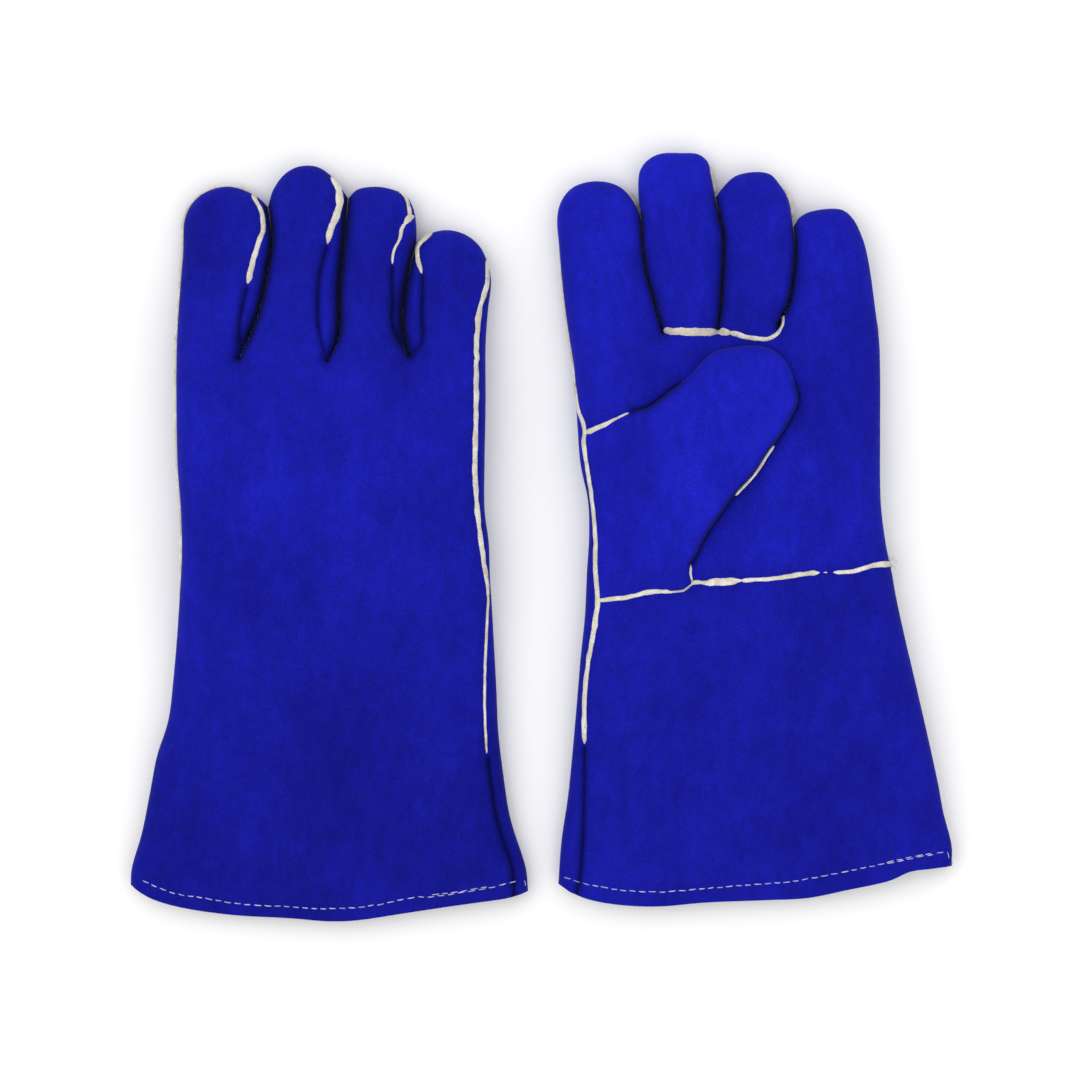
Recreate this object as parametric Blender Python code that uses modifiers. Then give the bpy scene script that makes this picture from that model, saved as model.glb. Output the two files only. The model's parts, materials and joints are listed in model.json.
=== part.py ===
"""A pair of 14 inch lined leather welding gauntlets, lying side by side with the fingers along +Y.

The right-hand glove lies back up on the -X side, with its thumb folded under the palm.
The left-hand glove lies palm up on the +X side, with its thumb folded across the palm.
Units are metres, +Z is up, and the gloves rest on Z = 0. The origin is under the middle of the pair.
"""

import math

import bpy
from mathutils import Vector

# ---- driving dimensions -------------------------------------------------------------------------

LEATHER = 0.0014           # thickness of a leather panel
LINING = 0.0008            # thickness of the cotton lining
LINING_CLEAR = 0.0012      # space between the leather and the lining
WELT_RADIUS = 0.0009       # leather strip sewn into a seam
WELT_GAP = 0.0018          # from the middle of a welted seam to each panel's edge
PLAIN_GAP = 0.0007         # from the middle of a plain seam to each panel's edge
KNUCKLE_GAP = 0.0004       # from the knuckle line to the hand and to the fingers
SQUARENESS = 2.6           # exponent of the rounded cross-section: 2 is an ellipse
FLAT_SHARE = 0.85          # where the section's underside is cut flat, as a share of its half height
SIDE_ANGLE = 32.0          # half angle of a fourchette, in degrees above and below the finger's side
TIP_ANGLE = 68.0           # a fingertip's rounding stops here, and the welt closes it
TIP_BULGE = 0.0022         # how far the welt runs past the end of the panels

HAND_STEPS = 13            # rows between the knuckles and the hem
FINGER_STEPS = 4           # rows along the straight part of a finger
TIP_STEPS = 3              # rows around its tip
PROFILE_STEPS = 64         # samples of a cross-section before it is cut to length
BEND_WEIGHT = 0.012        # how strongly points gather on a tight bend, as metres of length per radian

# Each glove: where its parts lie. A row of the hand is (y, left edge, right edge), and a height is
# (y, underside, thickness). A finger is (left and right edge at the knuckle, left and right edge at
# the shoulder of the tip, y of the shoulder, x and y of the tip).
RIGHT = {
    "name": "right",
    "palm_up": False,
    "knuckle": 0.0838,
    "wrist": -0.0295,
    "hand_rows": [(0.0838, -0.1720, -0.0262), (0.0135, -0.1697, -0.0267), (-0.0267, -0.1702, -0.0238),
                  (-0.0861, -0.1763, -0.0205), (-0.1192, -0.1850, -0.0168), (-0.1669, -0.1947, -0.0062)],
    "heights": [(0.0838, 0.0097, 0.0230), (0.0200, 0.0097, 0.0240), (-0.0260, 0.0097, 0.0220),
                (-0.0700, 0.0000, 0.0240), (-0.1669, 0.0000, 0.0190)],
    "finger_heights": (0.0097, 0.0230, 0.0000, 0.0210),
    "hem_bow": 0.0150,
    "hem_tilt": 0.0010,
    "seams": (25.0, 200.0),
    "fingers": {
        "index": (-0.1720, -0.1310, -0.1687, -0.1310, 0.1475, -0.1489, 0.1654),
        "middle": (-0.1300, -0.0946, -0.1290, -0.0946, 0.1569, -0.1116, 0.1753),
        "ring": (-0.0936, -0.0630, -0.0930, -0.0630, 0.1522, -0.0781, 0.1659),
        "little": (-0.0620, -0.0262, -0.0597, -0.0248, 0.1272, -0.0437, 0.1451),
    },
    "wing": ((-0.1465, 0.0526), (-0.1182, -0.0243)),
    "thumb_turn": -42.0,
    "thumb_origin": (-0.1423, 0.0035),
    "thumb": (-0.0200, 0.0190, -0.0180, 0.0170, 0.0600, 0.0000, 0.0790),
    "thumb_heights": (0.0000, 0.0090, 0.0000, 0.0090),
}
LEFT = {
    "name": "left",
    "palm_up": True,
    "knuckle": 0.0932,
    "wrist": -0.0225,
    "hand_rows": [(0.0932, 0.0125, 0.1598), (0.0350, 0.0187, 0.1602), (-0.0050, 0.0220, 0.1626),
                  (-0.0465, 0.0195, 0.1715), (-0.1030, 0.0145, 0.1846), (-0.1580, 0.0085, 0.1944)],
    "heights": [(0.0932, 0.0, 0.0240), (0.0200, 0.0, 0.0260), (-0.0260, 0.0, 0.0240),
                (-0.1580, 0.0, 0.0190)],
    "finger_heights": (0.0, 0.0240, 0.0, 0.0220),
    "hem_bow": 0.0130,
    "hem_tilt": -0.0050,
    "seams": (-20.0, 155.0),
    "fingers": {
        "index": (0.0125, 0.0507, 0.0073, 0.0474, 0.1489, 0.0262, 0.1683),
        "middle": (0.0517, 0.0838, 0.0517, 0.0824, 0.1617, 0.0660, 0.1813),
        "ring": (0.0848, 0.1163, 0.0848, 0.1163, 0.1536, 0.0998, 0.1725),
        "little": (0.1173, 0.1598, 0.1206, 0.1532, 0.1381, 0.1362, 0.1551),
    },
    "wing": ((0.0432, 0.0592), (0.0715, -0.0177)),
    "thumb_turn": -69.8,
    "thumb_origin": (0.0574, 0.0208),
    "thumb": (-0.0415, 0.0360, -0.0535, -0.0035, 0.0560, -0.0285, 0.0765),
    "thumb_heights": (0.0267, 0.0130, 0.0267, 0.0120),
}

SUEDE_BLUE = (0.012, 0.012, 0.42)
WELT_CREAM = (0.80, 0.77, 0.60)
LINING_WHITE = (0.78, 0.76, 0.70)


# ---- scene, collections and materials -----------------------------------------------------------

def clear_scene():
    for old in list(bpy.data.objects):
        bpy.data.objects.remove(old, do_unlink=True)


def new_collection(name):
    group = bpy.data.collections.new(name)
    bpy.context.scene.collection.children.link(group)
    return group


def new_material(name, colour, roughness):
    material = bpy.data.materials.new(name)
    material.use_nodes = True
    shader = material.node_tree.nodes["Principled BSDF"]
    shader.inputs["Base Color"].default_value = (*colour, 1.0)
    shader.inputs["Roughness"].default_value = roughness
    shader.inputs["Metallic"].default_value = 0.0
    return material


def add_object(name, mesh, colour, roughness, parent=None):
    """Links a mesh as a named part, in its own material, and hangs it on its joint's empty."""
    part = bpy.data.objects.new(name, mesh)
    PARTS.objects.link(part)
    mesh.materials.append(new_material(name + "_material", colour, roughness))
    if parent is not None:
        part.parent = parent
    return part


def add_empty(name, place):
    pivot = bpy.data.objects.new(name, None)
    pivot.empty_display_size = 0.01
    pivot.location = place
    PARTS.objects.link(pivot)
    return pivot


# ---- cross-sections -----------------------------------------------------------------------------

def smooth_table(rows, y):
    """The values at y of a table sorted by falling y, eased between its rows."""
    if y >= rows[0][0]:
        return rows[0][1:]
    for upper, lower in zip(rows, rows[1:]):
        if y >= lower[0]:
            share = (upper[0] - y) / (upper[0] - lower[0])
            share = 0.5 * share + 0.5 * share * share * (3.0 - 2.0 * share)
            return tuple(a + (b - a) * share for a, b in zip(upper[1:], lower[1:]))
    return rows[-1][1:]


def signed_power(value, power):
    return math.copysign(abs(value) ** power, value)


def section_point(row, degrees):
    """A point of the rounded section of a row, with degrees counted from +X through the top."""
    angle = math.radians(degrees)
    across = signed_power(math.cos(angle), 2.0 / SQUARENESS)
    upward = max(signed_power(math.sin(angle), 2.0 / SQUARENESS), -FLAT_SHARE)
    x = 0.5 * (row["left"] + row["right"]) + 0.5 * (row["right"] - row["left"]) * across
    z = row["under"] + (upward + FLAT_SHARE) / (1.0 + FLAT_SHARE) * row["thick"]
    y = row["y"] - row["bow"] * (1.0 - across * across) - row["tilt"] * across
    return Vector((x, y, z))


def inset_row(row, depth):
    """The same row, with its section drawn in by depth on every side."""
    inner = dict(row)
    inner["left"] += depth
    inner["right"] -= depth
    inner["under"] += depth
    inner["thick"] -= 2.0 * depth
    return inner


def walk(points, bend_weight=0.0):
    """The length travelled at each point, where a bend counts as bend_weight of length per radian."""
    travelled = [0.0]
    for i in range(1, len(points)):
        step = (points[i] - points[i - 1]).length
        turn = 0.0
        if bend_weight and i > 1:
            turn = (points[i] - points[i - 1]).angle(points[i - 1] - points[i - 2], 0.0)
        travelled.append(travelled[-1] + step + bend_weight * turn)
    return travelled


def resample(points, travelled, start, end, steps):
    """Points at even steps of the travelled length, from start to end."""
    result = []
    at = 0
    for i in range(steps + 1):
        wanted = start + (end - start) * i / steps
        while at < len(points) - 2 and travelled[at + 1] < wanted:
            at += 1
        share = (wanted - travelled[at]) / (travelled[at + 1] - travelled[at])
        result.append(points[at].lerp(points[at + 1], min(1.0, max(0.0, share))))
    return result


def section_arc(row, start, end, gaps, steps):
    """Points of a section between two angles, cut back by a gap at each end, closer on tight bends."""
    fine = [section_point(row, start + (end - start) * i / PROFILE_STEPS) for i in range(PROFILE_STEPS + 1)]
    lengths = walk(fine)
    trimmed = resample(fine, lengths, gaps[0], lengths[-1] - gaps[1], PROFILE_STEPS)
    travelled = walk(trimmed, BEND_WEIGHT)
    return resample(trimmed, travelled, 0.0, travelled[-1], steps)


# ---- rows along a hand or a finger --------------------------------------------------------------

def make_row(y, left, right, under, thick, bow=0.0, tilt=0.0):
    return {"y": y, "left": left, "right": right, "under": under, "thick": thick, "bow": bow, "tilt": tilt}


def hand_row(glove, y):
    left, right = smooth_table(glove["hand_rows"], y)
    under, thick = smooth_table(glove["heights"], y)
    hem = glove["hand_rows"][-1][0]
    share = max(0.0, (glove["wrist"] - y) / (glove["wrist"] - hem)) ** 2
    return make_row(y, left, right, under, thick, glove["hem_bow"] * share, glove["hem_tilt"] * share)


def hand_rows(glove, low, high, steps):
    return [hand_row(glove, low + (high - low) * i / steps) for i in range(steps + 1)]


def finger_rows(outline, heights, knuckle):
    """Rows from the knuckle to the shoulder, then around the tip. The underside sinks to the end's."""
    base_left, base_right, left, right, shoulder, tip_x, tip_y = outline
    under_base, thick_base, under_end, thick_end = heights
    start = knuckle + KNUCKLE_GAP
    rows = []
    for i in range(FINGER_STEPS + 1):
        share = i / FINGER_STEPS
        sink = min(1.0, share / 0.7)
        sink = sink * sink * (3.0 - 2.0 * sink)
        rows.append(make_row(start + (shoulder - start) * share,
                             base_left + (left - base_left) * share,
                             base_right + (right - base_right) * share,
                             under_base + (under_end - under_base) * sink,
                             thick_base + (thick_end - thick_base) * share))
    middle = 0.5 * (left + right)
    for i in range(1, TIP_STEPS + 1):
        turn = math.radians(TIP_ANGLE * i / TIP_STEPS)
        half = 0.5 * (right - left) * math.cos(turn)
        centre = middle + (tip_x - middle) * math.sin(turn) ** 2
        rows.append(make_row(shoulder + (tip_y - shoulder - TIP_BULGE * 0.5) * math.sin(turn),
                             centre - half, centre + half, under_end, thick_end * math.cos(turn) ** 0.8))
    return rows


# ---- panels, linings and welts ------------------------------------------------------------------

def grid_mesh(name, grid, closed=False):
    """A surface through rows of points. Its faces look away from the hand inside."""
    width = len(grid[0])
    points = [tuple(point) for line in grid for point in line]
    faces = []
    for i in range(len(grid) - 1):
        for j in range(width if closed else width - 1):
            k = (j + 1) % width
            faces.append((i * width + j, (i + 1) * width + j, (i + 1) * width + k, i * width + k))
    mesh = bpy.data.meshes.new(name)
    mesh.from_pydata(points, [], faces)
    mesh.shade_smooth()
    return mesh


def thicken(part, thickness):
    solid = part.modifiers.new("thickness", "SOLIDIFY")
    solid.thickness = thickness
    solid.offset = -1.0
    return part


def panel(name, rows, start, end, gaps, steps, pivot=None):
    """A leather panel: the stretch of each row's section between two seams."""
    grid = [section_arc(row, start, end, gaps, steps) for row in rows]
    origin = pivot.location if pivot else Vector()
    grid = [[point - origin for point in line] for line in grid]
    part = add_object(name, grid_mesh(name, grid), SUEDE_BLUE, 0.95, pivot)
    return thicken(part, LEATHER)


def lining(name, rows, steps):
    inner = [inset_row(row, LEATHER + LINING_CLEAR) for row in rows]
    grid = [section_arc(row, 0.0, 360.0, (0.0, 0.0), steps)[:-1] for row in inner]
    part = add_object(name, grid_mesh(name, grid, closed=True), LINING_WHITE, 0.9)
    return thicken(part, LINING)


def welt(name, points, pivot=None):
    """A strip along a seam: a round tube with filled ends."""
    curve = bpy.data.curves.new(name, "CURVE")
    curve.dimensions = "3D"
    curve.bevel_depth = WELT_RADIUS
    curve.bevel_resolution = 1
    curve.use_fill_caps = True
    line = curve.splines.new("POLY")
    line.points.add(len(points) - 1)
    origin = pivot.location if pivot else Vector()
    for knot, point in zip(line.points, points):
        knot.co = (*(point - origin), 1.0)
    return add_object(name, curve, WELT_CREAM, 0.8, pivot)


def seam_line(rows, degrees):
    """Points along a seam, half a panel's thickness under the surface."""
    return [section_point(inset_row(row, 0.5 * LEATHER), degrees) for row in rows]


def tip_line(row, right_seam, left_seam):
    """The welt's way around a fingertip, from its right seam to its left one."""
    inner = inset_row(row, 0.5 * LEATHER)
    right = section_point(inner, right_seam)
    left = section_point(inner, left_seam)
    points = []
    for degrees in (30.0, 60.0, 90.0, 120.0, 150.0):
        turn = math.radians(degrees)
        point = right.lerp(left, 0.5 - 0.5 * math.cos(turn))
        point.y += TIP_BULGE * math.sin(turn)
        points.append(point)
    return points


# ---- fingers and thumbs -------------------------------------------------------------------------

def finger_seams(glove, finger):
    """The angles of a finger's right and left upper seams, and whether each side has a fourchette."""
    right_seam = SIDE_ANGLE
    left_seam = 180.0 - SIDE_ANGLE
    if finger == "index":
        left_seam = glove["seams"][1]
    if finger == "little":
        right_seam = glove["seams"][0]
    return right_seam, left_seam


def build_finger(glove, finger):
    """A finger on its knuckle hinge: back, front, one or two fourchettes and the welt."""
    title = glove["name"] + "_" + finger
    outline = glove["fingers"][finger]
    heights = glove["finger_heights"]
    rows = finger_rows(outline, heights, glove["knuckle"])
    hinge = Vector((0.5 * (outline[0] + outline[1]), glove["knuckle"], heights[0] + heights[1]))
    pivot = add_empty(title + "_hinge", hinge)
    right_seam, left_seam = finger_seams(glove, finger)
    upper, lower = ("front", "back") if glove["palm_up"] else ("back", "front")

    panel(f"{title}_{upper}", rows, right_seam, left_seam, (WELT_GAP, WELT_GAP), 8, pivot)
    right_fork = finger != "little"
    left_fork = finger != "index"
    lower_start = 180.0 + SIDE_ANGLE if left_fork else left_seam
    lower_end = 360.0 - SIDE_ANGLE if right_fork else right_seam + 360.0
    lower_gaps = (PLAIN_GAP if left_fork else WELT_GAP, PLAIN_GAP if right_fork else WELT_GAP)
    panel(f"{title}_{lower}", rows, lower_start, lower_end, lower_gaps, 6, pivot)
    fork = f"{title}_fourchette"
    if right_fork:
        side = "_little_side" if left_fork else ""
        panel(fork + side, rows, -SIDE_ANGLE, SIDE_ANGLE, (PLAIN_GAP, WELT_GAP), 3, pivot)
    if left_fork:
        side = "_index_side" if right_fork else ""
        panel(fork + side, rows, 180.0 - SIDE_ANGLE, 180.0 + SIDE_ANGLE, (WELT_GAP, PLAIN_GAP), 3, pivot)
    right_line = seam_line(rows, right_seam)
    left_line = seam_line(rows, left_seam)
    around = tip_line(rows[-1], right_seam, left_seam)
    welt(title + "_welt", right_line + around + left_line[::-1], pivot)


def build_thumb(glove):
    """A thumb on its own hinge, modelled along +Y and turned to where it lies."""
    title = glove["name"] + "_thumb"
    rows = finger_rows(glove["thumb"], glove["thumb_heights"], 0.0)
    x, y = glove["thumb_origin"]
    pivot = add_empty(title + "_hinge", Vector((0.0, 0.0, glove["thumb_heights"][0])))
    upper, lower = ("front", "back") if glove["palm_up"] else ("back", "front")
    seam = 12.0
    panel(f"{title}_{upper}", rows, seam, 180.0 - seam, (WELT_GAP, WELT_GAP), 9, pivot)
    panel(f"{title}_{lower}", rows, 180.0 - seam, 360.0 + seam, (WELT_GAP, WELT_GAP), 9, pivot)
    around = tip_line(rows[-1], seam, 180.0 - seam)
    points = seam_line(rows, seam) + around + seam_line(rows, 180.0 - seam)[::-1]
    welt(title + "_welt", points, pivot)
    pivot.location = (x, y, glove["thumb_heights"][0])
    pivot.rotation_euler = (0.0, 0.0, math.radians(glove["thumb_turn"]))


# ---- the hand and the cuff ----------------------------------------------------------------------

def wing_cutter(glove, name, inset):
    """A block over the thumb wing: from the thumb-side edge to the fold, and from its top to the wrist."""
    (top_x, top_y), (low_x, low_y) = glove["wing"]
    edge = glove["hand_rows"][0][1] - 0.03
    below = glove["wrist"] - 0.01
    outline = [(edge, top_y - inset), (top_x - inset, top_y - inset), (low_x - inset, low_y),
               (low_x - inset, below), (edge, below)]
    mesh = bpy.data.meshes.new(name)
    count = len(outline)
    points = [(x, y, z) for z in (-0.02, 0.06) for x, y in outline]
    sides = [(i, (i + 1) % count, (i + 1) % count + count, i + count) for i in range(count)]
    faces = sides + [tuple(range(count, 2 * count)), tuple(reversed(range(count)))]
    mesh.from_pydata(points, [], faces)
    block = bpy.data.objects.new(name, mesh)
    block.hide_render = True
    block.display_type = "WIRE"
    CUTTERS.objects.link(block)
    make_faces_point_out(mesh)
    return block


def make_faces_point_out(mesh):
    """Turns a closed mesh inside out when its volume comes out negative."""
    volume = 0.0
    for face in mesh.polygons:
        corners = [mesh.vertices[i].co for i in face.vertices]
        for b, c in zip(corners[1:], corners[2:]):
            volume += corners[0].dot(b.cross(c))
    if volume < 0.0:
        mesh.flip_normals()


def cut(part, block, operation):
    boolean = part.modifiers.new("cut", "BOOLEAN")
    boolean.operation = operation
    boolean.object = block
    boolean.solver = "EXACT"


def cross_seam(glove, y, start, end, steps):
    """Points of a seam that runs across the hand, half a panel's thickness under the surface."""
    row = inset_row(hand_row(glove, y), 0.5 * LEATHER)
    return [section_point(row, start + (end - start) * i / steps) for i in range(steps + 1)]


def build_hand(glove):
    """The back, palm, thumb wing and cuff panels, the lining, and the welts of the hand's seams."""
    title = glove["name"]
    hem = glove["hand_rows"][-1][0]
    top = glove["knuckle"] - KNUCKLE_GAP
    wrist = glove["wrist"]
    right_seam, left_seam = glove["seams"]
    over = (right_seam, left_seam)
    under = (left_seam, right_seam + 360.0)
    back_arc, palm_arc = (under, over) if glove["palm_up"] else (over, under)
    gaps = (WELT_GAP, WELT_GAP)

    panel(title + "_back_panel", hand_rows(glove, hem, top, HAND_STEPS), *back_arc, gaps, 16)
    palm_rows = hand_rows(glove, wrist + WELT_GAP, top - 2.0 * WELT_GAP, 6)
    palm = panel(title + "_palm_panel", palm_rows, *palm_arc, gaps, 14)
    cut(palm, wing_cutter(glove, title + "_wing_cutter", 0.0), "DIFFERENCE")
    wing = panel(title + "_thumb_wing", palm_rows, *palm_arc, gaps, 14)
    cut(wing, wing_cutter(glove, title + "_wing_keeper", 2.0 * PLAIN_GAP), "INTERSECT")
    cuff_rows = hand_rows(glove, hem, wrist - WELT_GAP, 7)
    panel(title + "_cuff_palm_panel", cuff_rows, *palm_arc, gaps, 14)
    lining(title + "_hand_lining", hand_rows(glove, hem, top, HAND_STEPS)[1:], 32)

    seam_rows = hand_rows(glove, hem, top, HAND_STEPS)
    thumb_seam = seam_line(seam_rows, left_seam)
    little_seam = seam_line(seam_rows, right_seam)
    welt(title + "_thumb_side_welt", thumb_seam)
    welt(title + "_little_side_welt", little_seam)
    side_margin = 10.0
    welt(title + "_wrist_welt", cross_seam(glove, wrist, palm_arc[0] + side_margin, palm_arc[1] - side_margin, 18))
    base = 180.0 if not glove["palm_up"] else 0.0
    welt(title + "_finger_base_welt", cross_seam(glove, top - WELT_GAP, base + 66.0, base + 114.0, 8))


def build_glove(glove):
    build_hand(glove)
    for finger in glove["fingers"]:
        build_finger(glove, finger)
    build_thumb(glove)


clear_scene()
PARTS = new_collection("welding_gloves")
CUTTERS = new_collection("welding_gloves_cutters")
for pair_half in (RIGHT, LEFT):
    build_glove(pair_half)
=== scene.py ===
import json
import math
import random
from functools import partial

import bpy
import numpy as np
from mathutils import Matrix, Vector, noise
from mathutils.bvhtree import BVHTree
from mathutils.geometry import delaunay_2d_cdt
from mathutils.kdtree import KDTree


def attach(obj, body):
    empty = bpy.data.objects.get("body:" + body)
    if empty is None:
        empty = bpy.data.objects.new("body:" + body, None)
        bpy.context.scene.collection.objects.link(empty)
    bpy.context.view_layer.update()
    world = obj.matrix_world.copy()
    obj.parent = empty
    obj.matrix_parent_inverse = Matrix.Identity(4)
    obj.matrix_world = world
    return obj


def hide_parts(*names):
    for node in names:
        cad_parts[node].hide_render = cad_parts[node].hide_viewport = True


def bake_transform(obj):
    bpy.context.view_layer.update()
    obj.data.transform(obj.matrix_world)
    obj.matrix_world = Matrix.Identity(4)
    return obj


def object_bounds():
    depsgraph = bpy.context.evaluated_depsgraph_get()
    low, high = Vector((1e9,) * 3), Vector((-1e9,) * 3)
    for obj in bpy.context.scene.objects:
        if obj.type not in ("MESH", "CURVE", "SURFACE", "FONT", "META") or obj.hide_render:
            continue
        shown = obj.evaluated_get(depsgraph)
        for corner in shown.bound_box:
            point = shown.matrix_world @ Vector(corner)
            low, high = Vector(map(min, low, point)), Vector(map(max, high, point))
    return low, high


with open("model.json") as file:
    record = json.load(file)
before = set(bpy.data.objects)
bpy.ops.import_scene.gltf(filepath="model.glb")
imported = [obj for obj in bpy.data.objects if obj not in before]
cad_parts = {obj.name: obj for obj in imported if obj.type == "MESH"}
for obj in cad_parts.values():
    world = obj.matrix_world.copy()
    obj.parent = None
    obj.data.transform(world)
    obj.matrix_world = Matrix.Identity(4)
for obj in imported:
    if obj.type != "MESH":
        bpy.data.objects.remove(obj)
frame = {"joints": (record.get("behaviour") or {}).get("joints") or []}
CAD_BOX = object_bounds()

# Each glove is sewn from a flat pattern, drawn in millimetres from the middle of the glove's knuckle
# line, with +Y towards the fingertips. The pattern's top and bottom layers share their side outline.
# The seams cut them into the real leather pieces, and a height for every pattern point lifts them
# into a stuffed skin, which each piece is thickened from.

MM = 0.001
LEATHER = 0.0013           # thicknesses, metres
LINING = 0.0009
FINGERS = ("index", "middle", "ring", "little")
SLIT_HALF = 0.12           # half the gap between neighbouring fingers, mm
SEED = 7

TOP_GRID = 2.9             # spacing of pattern points, mm
BOTTOM_GRID = 4.2
OUTLINE_STEP = 2.0
TOP_RINGS = (0.3, 0.9, 1.8, 3.0, 4.6)     # rows of points at these distances inside the outline, mm
BOTTOM_RINGS = (0.4, 1.4, 3.2)
SEAM_RINGS = (1.1, 2.6)    # and at these distances beside each seam
HEX_ROW = 0.866            # distance between the rows of the pattern's grid, as a share of its spacing
LEAST_SPACING = 0.45       # between two pattern points, mm
SEAM_CLEAR = 0.35          # between a ring's points and a seam, mm
EDGE_CLEAR = 0.6           # between a seam row's points and the outline, mm
ROW_SHARE = 0.9            # a row's points keep this share of their distance where two lines come close
HEM_STEP = 3.0
SAME_PLACE = 0.02          # points closer than this are one point, mm
LOWEST_WELT = 0.02         # nothing goes below the table, mm
LOWEST_THREAD = 0.05

# A glove's table, in mm on its pattern. The outline runs clockwise from the hem's left corner: outer, the
# tips with the slits between them, each slit from its mouth down, then inner and hem. Splits are the seams
# between the hand and the fingers. Thick, raise and tones go by the height on the pattern: how thick the
# glove lies, how far its underside is lifted, and how much lighter or darker its colour is made. Drop takes
# some of that lift away across the pattern: from, to, and how much. Sunk names the seams whose welt has
# sunk, each up to a height, and dents are soft creases. Part tones make single pieces lighter or darker,
# shade scales the painted shade along folds, slits and the thumb's edge, bend is where each finger starts
# to bend, and backtack is the stretch of the hem's stitches that is sewn twice.

THICK = [(90, 19), (45, 21), (0, 23), (-60, 24), (-115, 22), (-170, 21), (-230, 16), (-265, 12)]
RIGHT = {
    "name": "right",
    "palm_up": False,
    "outer": [(-94, -248), (-93.5, -240.5), (-88.5, -223), (-84.5, -203), (-81.5, -187.5), (-76, -170),
        (-73.5, -149.5), (-71, -123), (-69, -91.5), (-69.5, -70.5), (-71, -49.5), (-71.5, 4), (-70.5, 29),
        (-69, 50.5)],
    "tips": {
        "index": [(-68, 67.5), (-63.5, 75.5), (-56, 80.5), (-47, 82), (-39.5, 80), (-32.5, 76)],
        "middle": [(-26.5, 80.5), (-21, 88), (-14.5, 91.5), (-6, 91.5), (0.5, 87.5), (5.5, 81.5)],
        "ring": [(13, 80.5), (22, 82), (30.5, 80.5), (36.5, 77.5), (40, 71), (41.2, 63)],
        "little": [(44, 58), (48, 60), (55.5, 61.5), (64, 59.5), (71, 54), (74.5, 47)],
    },
    "slits": [
        [(-29, 72.5), (-27, 58), (-29, 43), (-33, 23), (-37.5, 10.5), (-42, 0.5)],
        [(9, 76.5), (7, 55.5), (5, 34), (5, 18), (4, 9), (-0.5, -0.5)],
        [(41.3, 55.5), (38, 43), (35.5, 29), (35, 14.5), (38, 1.5)],
    ],
    "inner": [(76.5, 38), (75, 23), (74, 7), (74, -20), (73.5, -49.5), (73.5, -70.5), (75.5, -86.5),
        (76, -102), (77, -118), (79, -155), (80, -176.5), (82, -193.5), (85.5, -216), (93, -240.5),
        (94, -251)],
    "hem": [(87, -253.5), (60.5, -257.5), (34, -261.5), (13.5, -264.5), (0.5, -265), (-19.5, -263.5),
        (-46, -262), (-72, -258), (-85.5, -253.5)],
    "splits": {
        "index": [(-71.5, 0), (-42, 0.5)],
        "middle": [(-42, 0.5), (-20, 1.0), (-0.5, -0.5)],
        "ring": [(-0.5, -0.5), (18, 1.5), (38, 1.5)],
        "little": [(38, 1.5), (74, 0)],
    },
    "thick": THICK,
    "raise": [(50, 0), (0, 9.7), (-105, 9.7), (-150, 0)],
    "drop": (22, 60, 5.0),
    "sunk": [("index", 35.0), ("middle", 54.0), ("ring", 44.5), ("little", 40.0), ("hand_side", -186)],
    "dents": [
        [(-44, -1), (-53, -6), (-66, -11)],
        [(-18.5, -134), (-6.6, -144.7)],
        [(-45, -110), (-18, -110.5)],
        [(-5, 40), (-6, 20), (-8, 6)],
        [(2, -3), (6, -14)],
        [(36, -2), (30, -12)],
        [(-60, -118), (-20, -112), (30, -116)],
    ],
    "tones": [(-260, 0.74), (-170, 0.78), (-115, 0.92), (-60, 1.02), (-5, 0.98), (45, 0.84), (90, 0.92)],
    "part_tones": {
        "palm_panel": 0.95,
        "little_front": 0.95,
        "index_fourchette": 1.12,
        "middle_fourchette_little_side": 1.12,
        "ring_fourchette_little_side": 1.1,
        "little_fourchette": 1.15,
    },
    "seed": 3.0,
    "shade": {},
    "bend": {f: 3.5 for f in FINGERS},
    "backtack": (46, 76),
    "stitches": [(-88.5, -245.5), (-73.5, -251.5), (-59, -254), (-39, -257), (-19.5, -258), (0.5, -259),
        (20.5, -257.5), (40.5, -253.5), (46, -253.5), (76, -249), (90.5, -245.5)],
}
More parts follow.
